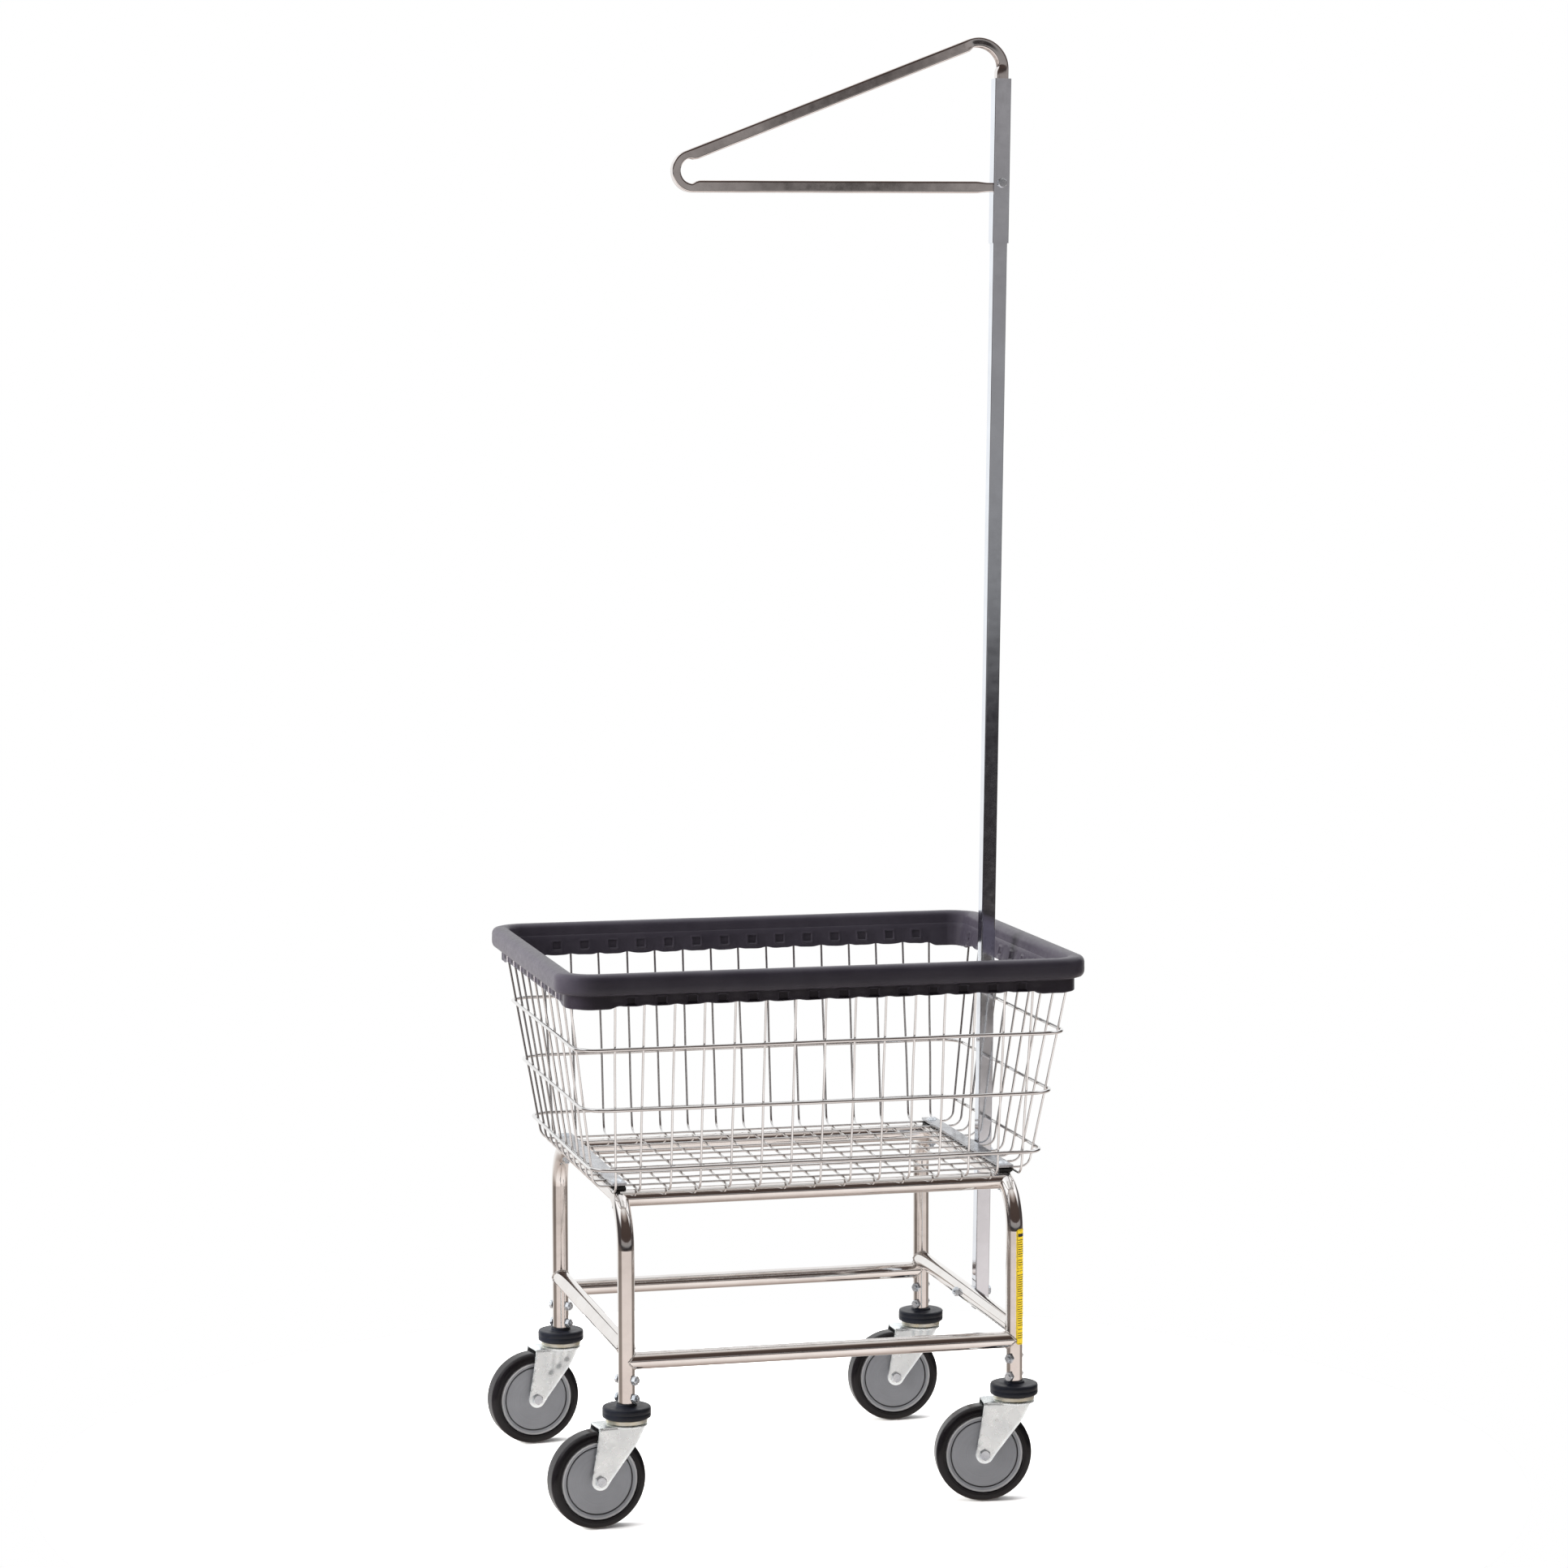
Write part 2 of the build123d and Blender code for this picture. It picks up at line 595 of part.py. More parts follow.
def hub_solid():
    bore = bush_r + bush_gap
    side = [(bore, 16.6), (11.5, 16.6), (12.5, 15.8), (13.5, 14.4), (40.8, 13.6),
            (42.2, 12.2), (43.4, 12.2), (44.2, 14.2), (49.6, 15.0), (tyre_in_r, 13.8)]
    prof = side + [(r, -y) for r, y in reversed(side)]
    return wheel_lathe(prof)


def stem_solid():
    prof = [(0, 121.6), (7.0, 121.6), (8.6, 123.2), (8.6, 126.0), (kingpin_r, 126.0),
            (kingpin_r, 137.4), (23.2, 137.4), (24.4, 136.4), (24.4, 134.0), (26.2, 134.0),
            (race_r, 135.0), (race_r, 139.0), (26.0, 140.0), (stem_r, 140.0),
            (stem_r, 203.0), (stem_r - 1.5, 205.0), (0, 205.0)]
    return lathe(prof)


def ring_solid():
    prof = [(tr + 0.2, ring_z0), (ring_r - 2.2, ring_z0), (ring_r - 0.6, ring_z0 + 0.7),
            (ring_r, ring_z0 + 2.2), (ring_r, ring_z1 - 2.6), (ring_r - 0.7, ring_z1 - 0.8),
            (ring_r - 2.4, ring_z1), (collar_r + 0.4, ring_z1), (collar_r, ring_z1 + 0.5),
            (collar_r - 0.3, collar_z1 - 0.6), (collar_r - 1.0, collar_z1), (tr + 0.2, collar_z1)]
    return lathe(prof)


def fork_solid():
    outer = fork_in + fork_t
    # crown plate: a disc round the kingpin run out to the trailing end
    crown_face = (Plane.XY * (Circle(race_r + 0.4) + Pos(-21.25, 0) * Rectangle(42.5, 2 * outer)))
    crown = Solid.extrude(crown_face.faces()[0], Vector(0, 0, crown_z1 - crown_z0))
    crown = crown.moved(Location((0, 0, crown_z0)))
    f = crown
    # the two tapered plates
    ax, az = -trail, wheel_r
    lo = 11.8
    for s in (1, -1):
        tl = Vector(-42.5, 0, crown_z0 + 0.5)
        tr_ = Vector(19.6, 0, crown_z0 + 0.5)
        mid = Vector(6.0, 0, 105.5)
        # tangent points on the rounded lower end
        a1 = math.radians(172)
        a2 = math.radians(-36)
        p1 = Vector(ax + lo * math.cos(a1), 0, az + lo * math.sin(a1))
        p2 = Vector(ax + lo * math.cos(a2), 0, az + lo * math.sin(a2))
        pb = Vector(ax + lo * math.cos(math.radians(-112)), 0,
                    az + lo * math.sin(math.radians(-112)))
        edges = [Edge.make_line(tr_, tl), Edge.make_line(tl, p1),
                 Edge.make_three_point_arc(p1, pb, p2), Edge.make_line(p2, mid),
                 Edge.make_line(mid, tr_)]
        face = Face(Wire(edges))
        plate = Solid.extrude(face, Vector(0, fork_t, 0))
        y0 = fork_in if s > 0 else -outer
        bb = plate.bounding_box()
        plate = plate.moved(Location((0, y0 - bb.min.Y, 0)))
        f = f.fuse(plate)
    f = f - cyl((0, 0, crown_z0 - 5), (0, 0, crown_z1 + 5), kingpin_r + kingpin_gap)
    f = f - cyl((ax, -30, az), (ax, 30, az), axle_r + 0.1)
    return f


def axle_bolt():
    y = fork_in + fork_t + 0.05
    head = chamfered_head((-trail, -y, wheel_r), (-trail, -y - 4.0, wheel_r), axle_head_af)
    shank = cyl((-trail, -y - 0.5, wheel_r), (-trail, y + 7.5, wheel_r), axle_r)
    return head.fuse(shank)


def axle_nut():
    y = fork_in + fork_t + 0.05
    n = chamfered_head((-trail, y, wheel_r), (-trail, y + 6.0, wheel_r), axle_head_af)
    return n - cyl((-trail, y - 1, wheel_r), (-trail, y + 7, wheel_r), axle_r + 0.04)


def bush():
    h = fork_in - 0.03
    b = cyl((-trail, -h, wheel_r), (-trail, h, wheel_r), bush_r)
    return b - cyl((-trail, -h - 1, wheel_r), (-trail, h + 1, wheel_r), axle_r + 0.06)


def balls():
    res = []
    zc = (crown_z1 + 137.4) / 2
    for i in range(18):
        a = 2 * math.pi * i / 18
        res.append(Solid.make_sphere(
            ball_r, Plane(origin=(ball_pitch_r * math.cos(a), ball_pitch_r * math.sin(a), zc)),
            -90, 90, 360))
    return res


stem0, ring0, fork0, bolt0 = stem_solid(), ring_solid(), fork_solid(), axle_bolt()
nut0, bush0, balls0, hub0, tyre0 = axle_nut(), bush(), balls(), hub_solid(), tyre_solid()

for code, (sx, sy) in caster_at.items():
    # the stem takes the two leg bolts, so it keeps the leg's direction
    st = stem0.moved(Location((sx * leg_x, sy * leg_y, 0)))
    d = leg_bolt_dir(sx)
    for z in leg_bolt_zs:
        c = Vector(sx * leg_x, sy * leg_y, z)
        st = st - cyl(tuple(c - d * 15), tuple(c + d * 15), bolt_hole_r)
    out(st, "caster_stem_" + code)
    out(ring0.moved(Location((sx * leg_x, sy * leg_y, 0))), "bumper_ring_" + code)
    out(place(fork0, code), "fork_" + code)
    out(place(bolt0, code), "axle_bolt_" + code)
    out(place(nut0, code), "axle_nut_" + code)
    out(place(bush0, code), "axle_bush_" + code)
    out([place(b, code) for b in balls0], "swivel_balls_" + code)
    out(place(hub0, code), "wheel_hub_" + code)
    out(place(tyre0, code), "tyre_" + code)
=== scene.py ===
import json
import math
import random

import bmesh
import bpy
import numpy as np
from mathutils import Matrix, Vector, noise


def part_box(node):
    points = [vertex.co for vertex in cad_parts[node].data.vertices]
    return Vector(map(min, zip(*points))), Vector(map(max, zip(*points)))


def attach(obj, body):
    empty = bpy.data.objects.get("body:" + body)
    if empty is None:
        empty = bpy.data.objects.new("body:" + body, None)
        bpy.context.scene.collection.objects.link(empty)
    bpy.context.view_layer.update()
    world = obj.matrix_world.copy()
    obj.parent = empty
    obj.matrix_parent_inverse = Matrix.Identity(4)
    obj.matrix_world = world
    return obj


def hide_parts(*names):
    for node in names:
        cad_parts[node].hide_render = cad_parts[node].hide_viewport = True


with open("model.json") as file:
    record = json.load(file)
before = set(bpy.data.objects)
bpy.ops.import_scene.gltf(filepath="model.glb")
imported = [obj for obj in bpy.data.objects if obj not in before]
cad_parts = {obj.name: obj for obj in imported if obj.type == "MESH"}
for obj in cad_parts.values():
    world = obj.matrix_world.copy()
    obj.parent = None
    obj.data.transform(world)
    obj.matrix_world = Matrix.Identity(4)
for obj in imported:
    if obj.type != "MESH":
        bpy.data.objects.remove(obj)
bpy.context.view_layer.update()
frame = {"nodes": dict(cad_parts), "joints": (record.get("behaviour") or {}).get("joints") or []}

MM = 0.001
rng = random.Random(7)
nodes = frame["nodes"]
joints = {j["name"]: j for j in frame["joints"]}


# ----------------------------------------------------------- mesh building
def make_object(name, verts, faces, mats, body, slot, smooth=True, face_mats=None,
                sharp=None, uvs=None):
    """A mesh piece in millimetres, riding on a body."""
    me = bpy.data.meshes.new(name)
    me.from_pydata([tuple(c * MM for c in v) for v in verts], [], faces)
    if uvs is not None:
        layer = me.uv_layers.new(name="along")
        flat = np.zeros(len(me.loops) * 2)
        idx = np.zeros(len(me.loops), int)
        me.loops.foreach_get("vertex_index", idx)
        uvs = np.asarray(uvs, float)
        flat[0::2] = uvs[idx, 0]
        flat[1::2] = uvs[idx, 1]
        layer.data.foreach_set("uv", flat)
    if not isinstance(mats, (list, tuple)):
        mats = [mats]
    for m in mats:
        me.materials.append(m)
    if face_mats is not None:
        me.polygons.foreach_set("material_index", face_mats)
    bm = bmesh.new()
    bm.from_mesh(me)
    bmesh.ops.recalc_face_normals(bm, faces=bm.faces)
    bm.to_mesh(me)
    bm.free()
    me.polygons.foreach_set("use_smooth", [smooth] * len(me.polygons))
    ob = bpy.data.objects.new(name, me)
    bpy.context.scene.collection.objects.link(ob)
    if sharp is not None:
        me.set_sharp_from_angle(angle=math.radians(sharp))
    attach(ob, body)
    return ob


class Builder:
    """Collects several closed shells into one mesh."""

    def __init__(self):
        self.v, self.f, self.m, self.uv = [], [], [], []

    def add(self, verts, faces, mat=0, uv=None):
        o = len(self.v)
        self.v.extend([tuple(p) for p in verts])
        self.f.extend([tuple(i + o for i in f) for f in faces])
        self.m.extend([mat] * len(faces))
        self.uv.extend(uv if uv is not None else [(0.0, 0.0)] * len(verts))

    def object(self, name, mats, body, slot, **kw):
        return make_object(name, self.v, self.f, mats, body, slot, face_mats=self.m,
                           uvs=self.uv, **kw)


def path_points(pts, radii, step=3.0, arc_deg=6.0):
    """Points along straight runs joined by tangent arcs."""
    pts = [Vector(p) for p in pts]
    out = []
    start = pts[0]

    def line(a, b):
        n = max(1, int(round((b - a).length / step)))
        for i in range(n):
            out.append(a.lerp(b, i / n))

    for i in range(1, len(pts) - 1):
        a = (pts[i - 1] - pts[i]).normalized()
        b = (pts[i + 1] - pts[i]).normalized()
        ang = a.angle(b)
        r = radii[i - 1]
        t = r / math.tan(ang / 2)
        p1, p2 = pts[i] + a * t, pts[i] + b * t
        centre = pts[i] + (a + b).normalized() * (r / math.sin(ang / 2))
        line(start, p1)
        u, w = (p1 - centre), (p2 - centre)
        total = u.angle(w)
        axis = u.cross(w).normalized()
        n = max(3, int(math.degrees(total) / arc_deg))
        for k in range(n):
            out.append(centre + Matrix.Rotation(total * k / n, 3, axis) @ u)
        start = p2
    line(start, pts[-1])
    out.append(pts[-1])
    return out


def frames_along(points, closed=False, x_hint=None):
    """Tangent and two side directions at each point, turning as little as possible."""
    n = len(points)
    tang = []
    for i in range(n):
        if closed:
            t = points[(i + 1) % n] - points[i - 1]
        elif i == 0:
            t = points[1] - points[0]
        elif i == n - 1:
            t = points[-1] - points[-2]
        else:
            t = (points[i + 1] - points[i]).normalized() + (points[i] - points[i - 1]).normalized()
        tang.append(t.normalized())
    h = Vector(x_hint) if x_hint is not None else Vector((0, 0, 1))
    if abs(h.dot(tang[0])) > 0.95:
        h = Vector((1, 0, 0))
    a = (h - tang[0] * h.dot(tang[0])).normalized()
    out = []
    for i in range(n):
        if i:
            a = (a - tang[i] * a.dot(tang[i])).normalized()
        out.append((tang[i], a, tang[i].cross(a)))
    return out


def sweep(points, section, closed=False, x_hint=None, caps=True):
    """section(i, n, s) gives the (a, b) points of the ring at the i-th point."""
    fr = frames_along(points, closed, x_hint)
    verts, faces, uv = [], [], []
    s = 0.0
    k = None
    for i, p in enumerate(points):
        if i:
            s += (points[i] - points[i - 1]).length
        ring = section(i, len(points), s)
        k = len(ring)
        for j, (u, w) in enumerate(ring):
            verts.append(p + fr[i][1] * u + fr[i][2] * w)
            uv.append((s * MM, j / k))
    n = len(points)
    for i in range(n if closed else n - 1):
        i2 = (i + 1) % n
        for j in range(k):
            j2 = (j + 1) % k
            faces.append((i * k + j, i * k + j2, i2 * k + j2, i2 * k + j))
    if not closed and caps:
        faces.append(tuple(range(k - 1, -1, -1)))
        faces.append(tuple((n - 1) * k + j for j in range(k)))
    return verts, faces, uv


def circle(r, n):
    return [(r * math.cos(2 * math.pi * j / n), r * math.sin(2 * math.pi * j / n)) for j in range(n)]


def tube(points, r, n=16, closed=False, end_round=0.0):
    """Round bar; its ends can be rounded over."""
    base = circle(1.0, n)
    total = sum((points[i + 1] - points[i]).length for i in range(len(points) - 1))

    def sec(i, m, s):
        rr = r
        if end_round and not closed:
            e = min(s, total - s)
            if e < end_round:
                q = 1 - e / end_round
                rr = r * math.sqrt(max(0.05, 1 - q * q * 0.9))
        return [(x * rr, y * rr) for x, y in base]
    return sweep(points, sec, closed)


def rounded_square(size, corner, seg=4, side=3):
    """Ring of points of a rounded square."""
    h = size / 2 - corner
    pts = []
    for q, (sx, sy) in enumerate(((1, 1), (-1, 1), (-1, -1), (1, -1))):
        for k in range(seg + 1):
            a = math.pi / 2 * (q + k / seg)
            pts.append((sx * h + corner * math.cos(a), sy * h + corner * math.sin(a)))
        # extra points along the flat that follows
        nx, ny = ((-1, 1), (-1, -1), (1, -1), (1, 1))[q]
        a = math.pi / 2 * (q + 1)
        p = (sx * h + corner * math.cos(a), sy * h + corner * math.sin(a))
        q2 = (nx * h + corner * math.cos(a), ny * h + corner * math.sin(a))
        for k in range(1, side + 1):
            t = k / (side + 1)
            pts.append((p[0] + (q2[0] - p[0]) * t, p[1] + (q2[1] - p[1]) * t))
    return pts


def lathe(profile, place, n=96, wobble=None):
    """Closed profile of (r, h) points turned about the local Z of place."""
    verts, faces, uv = [], [], []
    k = len(profile)
    for i in range(n):
        a = 2 * math.pi * i / n
        for j, (r, h) in enumerate(profile):
            if wobble:
                r, h = wobble(a, j, r, h)
            verts.append(place @ Vector((r * math.cos(a), r * math.sin(a), h)))
            uv.append((r * MM, i / n))
    for i in range(n):
        i2 = (i + 1) % n
        for j in range(k):
            j2 = (j + 1) % k
            if profile[j][0] < 1e-6 and profile[j2][0] < 1e-6:
                continue
            faces.append((i * k + j, i2 * k + j, i2 * k + j2, i * k + j2))
    return verts, faces, uv


def lathe_object(name, profile, place, mats, body, slot, n=96, sharp=35, wobble=None,
                 ring_mats=None):
    v, f, uv = lathe(profile, place, n, wobble)
    fm = None
    if ring_mats is not None:
        k = len(profile)
        fm = [ring_mats[i % k] for i in range(len(f))]
    ob = make_object(name, v, f, mats, body, slot, sharp=sharp, face_mats=fm, uvs=uv)
    bm = bmesh.new()
    bm.from_mesh(ob.data)
    bmesh.ops.remove_doubles(bm, verts=bm.verts, dist=1e-7)
    bmesh.ops.recalc_face_normals(bm, faces=bm.faces)
    bm.to_mesh(ob.data)
    bm.free()
    return ob


def smooth_profile(pts, sharp=(), rounds=1, keep=0.75):
    """Cuts the corners of a closed profile, apart from the ones listed."""
    for _ in range(rounds):
        out, marks = [], []
        n = len(pts)
        for i in range(n):
            p0, p, p2 = pts[i - 1], pts[i], pts[(i + 1) % n]
            if i in sharp:
                out.append(p)
                marks.append(len(out) - 1)
            else:
                out.append((p0[0] + (p[0] - p0[0]) * keep, p0[1] + (p[1] - p0[1]) * keep))
                out.append((p[0] + (p2[0] - p[0]) * (1 - keep), p[1] + (p2[1] - p[1]) * (1 - keep)))
        pts, sharp = out, marks
    return pts


# --------------------------------------------------------------- materials
class Mat:
    def __init__(self, name):
        self.m = bpy.data.materials.new(name)
        self.m.use_nodes = True
        self.t = self.m.node_tree
        self.b = next(n for n in self.t.nodes if n.type == "BSDF_PRINCIPLED")
        self.coord = self.t.nodes.new("ShaderNodeTexCoord")

    def set(self, **kw):
        for k, v in kw.items():
            k = k.replace("_", " ")
            if isinstance(v, tuple) and len(v) == 3:
                v = (*v, 1)
            self.b.inputs[k].default_value = v

    def node(self, kind, **kw):
        n = self.t.nodes.new(kind)
        for k, v in kw.items():
            setattr(n, k, v)
        return n

    def link(self, a, b):
        self.t.links.new(a, b)

    def noise(self, scale, detail=4.0, rough=0.5, stretch=None, source="Object", distortion=0.0):
        n = self.node("ShaderNodeTexNoise")
        n.inputs["Scale"].default_value = scale
        n.inputs["Detail"].default_value = detail
        n.inputs["Roughness"].default_value = rough
        n.inputs["Distortion"].default_value = distortion
        src = self.coord.outputs[source]
        if stretch:
            mp = self.node("ShaderNodeMapping")
            mp.inputs["Scale"].default_value = stretch
            self.link(src, mp.inputs["Vector"])
            src = mp.outputs["Vector"]
        self.link(src, n.inputs["Vector"])
        return n.outputs["Fac"]

    def ramp(self, fac, stops):
        r = self.node("ShaderNodeValToRGB")
        e = r.color_ramp.elements
        while len(e) < len(stops):
            e.new(0.5)
        for i, (p, c) in enumerate(stops):
            e[i].position = p
            e[i].color = (*c, 1) if len(c) == 3 else c
        self.link(fac, r.inputs["Fac"])
        return r.outputs["Color"]

    def remap(self, fac, lo, hi, a=0.3, b=0.7):
        r = self.node("ShaderNodeMapRange")
        r.inputs["From Min"].default_value = a
        r.inputs["From Max"].default_value = b
        r.inputs["To Min"].default_value = lo
        r.inputs["To Max"].default_value = hi
        self.link(fac, r.inputs["Value"])
        return r.outputs["Result"]

    def mix(self, fac, a, b, kind="MIX"):
        n = self.node("ShaderNodeMix", data_type="RGBA", blend_type=kind)
        if isinstance(fac, (int, float)):
            n.inputs[0].default_value = fac
        else:
            self.link(fac, n.inputs[0])
        for sock, v in ((n.inputs[6], a), (n.inputs[7], b)):
            if isinstance(v, tuple):
                sock.default_value = (*v, 1)
            else:
                self.link(v, sock)
        return n.outputs[2]

    def add(self, a, b, wa=1.0, wb=1.0):
        m1 = self.node("ShaderNodeMath", operation="MULTIPLY")
        self.link(a, m1.inputs[0])
        m1.inputs[1].default_value = wa
        m2 = self.node("ShaderNodeMath", operation="MULTIPLY_ADD")
        self.link(b, m2.inputs[0])
        m2.inputs[1].default_value = wb
        self.link(m1.outputs[0], m2.inputs[2])
        return m2.outputs[0]

    def color(self, c):
        self.link(c, self.b.inputs["Base Color"])

    def rough(self, r):
        self.link(r, self.b.inputs["Roughness"])

    def bump(self, height, strength, distance):
        n = self.node("ShaderNodeBump")
        n.inputs["Strength"].default_value = strength
        n.inputs["Distance"].default_value = distance
        self.link(height, n.inputs["Height"])
        self.link(n.outputs["Normal"], self.b.inputs["Normal"])


def chrome(name, tone, dark, r0, r1, wave=0.2, wave_scale=55.0):
    m = Mat(name)
    m.set(Metallic=1.0)
    cloud = m.noise(14.0, 5.0, 0.6)
    m.color(m.ramp(cloud, [(0.30, dark), (0.62, tone)]))
    m.rough(m.remap(m.noise(90.0, 6.0, 0.65), r0, r1))
    big = m.noise(wave_scale, 2.0, 0.4)
    fine = m.noise(1400.0, 3.0, 0.6)
    m.bump(m.add(big, fine, 1.0, 0.012), wave, 0.0008)
    return m.m


def zinc(name, tone, dark, r0, r1, yellow=0.0):
    m = Mat(name)
    m.set(Metallic=0.92)
    v = m.node("ShaderNodeTexVoronoi")
    v.inputs["Scale"].default_value = 210.0
    m.link(m.coord.outputs["Object"], v.inputs["Vector"])
    spangle = m.ramp(v.outputs["Color"], [(0.15, dark), (0.85, tone)])
    cloud = m.noise(45.0, 1.5, 0.4)
    stain = m.ramp(cloud, [(0.30, tuple(c * 0.95 for c in dark)), (0.60, tone)])
    c = m.mix(0.07, stain, spangle)
    if yellow:
        c = m.mix(m.remap(m.noise(120.0, 3.0, 0.5), 0.0, yellow, 0.35, 0.65), c, (0.74, 0.62, 0.30))
    m.color(c)
    m.rough(m.remap(m.noise(90.0, 2.0, 0.5), r0, r1))
    m.bump(m.noise(900.0, 2.0, 0.5), 0.02, 0.0002)
    return m.m


def polymer(name, tone, light, r0, r1, grain=1600.0, grain_h=0.00012, grain_s=0.25, cloud_scale=22.0,
            spec=0.5):
    m = Mat(name)
    m.set(Metallic=0.0)
    m.b.inputs["Specular IOR Level"].default_value = spec
    m.color(m.ramp(m.noise(cloud_scale, 6.0, 0.6), [(0.32, tone), (0.70, light)]))
    m.rough(m.remap(m.noise(150.0, 5.0, 0.6), r0, r1))
    m.bump(m.add(m.noise(grain, 3.0, 0.55), m.noise(70.0, 3.0, 0.5), 1.0, 0.8), grain_s, grain_h)
    return m.m


def turned_plastic(name, tone, light):
    """Grey hub: faint rings left by turning, from the radius kept in the UVs."""
    m = Mat(name)
    m.b.inputs["Specular IOR Level"].default_value = 0.5
    m.set(Metallic=0.0)
    rings = m.noise(900.0, 3.0, 0.6, stretch=(1.0, 0.004, 1.0), source="UV")
    cloud = m.noise(30.0, 4.0, 0.6)
    c = m.mix(0.5, m.ramp(rings, [(0.3, tone), (0.7, light)]), m.ramp(cloud, [(0.3, tone), (0.7, light)]))
    m.color(c)
    m.rough(m.remap(m.noise(240.0, 4.0, 0.6), 0.30, 0.42))
    m.bump(m.add(rings, m.noise(1500.0, 2.0, 0.5), 1.0, 0.25), 0.35, 0.00012)
    return m.m


chrome_frame = chrome("chrome_frame", (0.86, 0.835, 0.81), (0.76, 0.725, 0.695), 0.05, 0.12, 0.16, 40.0)
chrome_wire = chrome("chrome_wire", (0.84, 0.84, 0.835), (0.74, 0.735, 0.73), 0.07, 0.16, 0.18, 90.0)
chrome_square = chrome("chrome_square", (0.84, 0.88, 0.94), (0.74, 0.77, 0.82), 0.05, 0.10, 0.16, 22.0)
chrome_arm = chrome("chrome_arm", (0.88, 0.84, 0.82), (0.72, 0.68, 0.66), 0.05, 0.11, 0.18, 24.0)
weld = chrome("weld_bead", (0.80, 0.775, 0.75), (0.60, 0.56, 0.53), 0.12, 0.28, 0.6, 420.0)
zinc_plate = zinc("zinc_plate", (0.93, 0.99, 1.0), (0.84, 0.90, 0.92), 0.22, 0.34)
zinc_race = zinc("zinc_race", (0.78, 0.78, 0.72), (0.56, 0.55, 0.48), 0.26, 0.42, 0.3)
zinc_bolt = zinc("zinc_bolt", (0.74, 0.78, 0.82), (0.52, 0.57, 0.62), 0.20, 0.36)
zinc_bar = zinc("zinc_bar", (0.50, 0.515, 0.54), (0.38, 0.395, 0.42), 0.20, 0.34)
rim_mat = polymer("rim_vinyl", (0.0215, 0.0192, 0.0265), (0.029, 0.0262, 0.0345), 0.30, 0.40, 2600.0, 0.00016, 0.30, spec=0.24)
# darker copy of the vinyl for the recessed squares: painted shade in the dimples
rim_dimple_shade_mat = polymer("rim_vinyl_painted_dimple_shade", (0.008, 0.006, 0.009), (0.013, 0.011, 0.015), 0.34, 0.46, 2600.0, 0.00016, 0.30, spec=0.2)
# much lighter copy of the vinyl for the raised ribs on the ends: painted highlight
rim_rib_highlight_mat = polymer("rim_vinyl_painted_rib_highlight", (0.12, 0.11, 0.12), (0.17, 0.16, 0.17), 0.36, 0.46, 2600.0, 0.00016, 0.30)
# darker copy of the vinyl for the long-side skirts and the underside of the roll: painted shade
rim_skirt_shade_mat = polymer("rim_vinyl_painted_skirt_shade", (0.010, 0.008, 0.012), (0.016, 0.0135, 0.019), 0.32, 0.42, 2600.0, 0.00016, 0.30, spec=0.22)
ring_mat = polymer("ring_rubber", (0.0045, 0.0055, 0.0085), (0.008, 0.009, 0.013), 0.30, 0.42, grain_s=0.12, spec=0.25)
tyre_mat = polymer("tyre_rubber", (0.0030, 0.0026, 0.0032), (0.0055, 0.0050, 0.0058), 0.13, 0.20, 900.0, 0.00005, 0.05, spec=0.28)
pad_mat = polymer("pad_rubber", (0.012, 0.012, 0.012), (0.022, 0.021, 0.021), 0.5, 0.65)
plug_mat = polymer("plug_plastic", (0.016, 0.016, 0.017), (0.026, 0.026, 0.027), 0.35, 0.5)
hub_mat = turned_plastic("hub_plastic", (0.132, 0.136, 0.148), (0.172, 0.177, 0.190))
hub_ring_mat = turned_plastic("hub_rim", (0.20, 0.20, 0.205), (0.26, 0.26, 0.265))
groove_mat = polymer("hub_groove", (0.018, 0.018, 0.019), (0.028, 0.028, 0.029), 0.45, 0.6)


# --------------------------------------------------------- sizes from the frame
def mm(v):
    return Vector(v) / MM


def box_mm(node):
    lo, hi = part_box(node)
    return mm(lo), mm(hi)


lo, hi = box_mm("right_end_frame")
LEG_X = (lo.x + hi.x) / 2
TUBE_R = (hi.x - lo.x) / 2
LEG_Y = hi.y - TUBE_R
END_TOP = hi.z - TUBE_R
LEG_FOOT = lo.z
lo, hi = box_mm("front_bottom_rail")
LONG_Z = (lo.z + hi.z) / 2
lo, hi = box_mm("left_side_rail")
SIDE_Z = (lo.z + hi.z) / 2
lo, hi = box_mm("back_top_rail")
TOPR_Y, TOPR_Z = (lo.y + hi.y) / 2, (lo.z + hi.z) / 2
WHEEL_R = box_mm("tyre_fl")[1].z / 2

CORNERS = {}
for code in ("fl", "fr", "bl", "br"):
    spin = joints["wheel_spin_" + code]
    turn = joints["swivel_" + code]
    stem = mm(turn["pos_m"])
    axle = mm(spin["pos_m"])
    back = Vector((axle.x - stem.x, axle.y - stem.y, 0)).normalized()
    CORNERS[code] = {"stem": Vector((stem.x, stem.y, 0)), "axle": axle, "back": back,
                     "side": Vector((-back.y, back.x, 0)), "trail": (Vector((axle.x, axle.y, 0)) - Vector((stem.x, stem.y, 0))).length}


# ------------------------------------------------------- basket of round wire
WIRE_R = 1.5
HOOP_R = 2.4
lo, hi = box_mm("basket_cross_wires")
FLOOR_CROSS = lo.z + WIRE_R
WIRE_TOP = hi.z
CROSS_TOP_X = hi.x - WIRE_R
lo, hi = box_mm("basket_long_wires")
FLOOR_LONG = lo.z + WIRE_R
LONG_TOP_Y = hi.y - WIRE_R


def wall_x(z):
    return 297.1 + 0.152 * (z - 461.0)


def wall_y(z):
    return 222.0 + 0.130 * (z - 461.0)


def wobble_path(points, amp, seed):
    """Hand-welded wires aren't dead straight."""
    out = []
    for p in points:
        n = noise.noise_vector(Vector((p.x, p.y, p.z)) * 0.009 + Vector((seed * 3.7, seed * 1.3, 0)))
        out.append(p + Vector((n.x, n.y, n.z)) * amp)
    return out


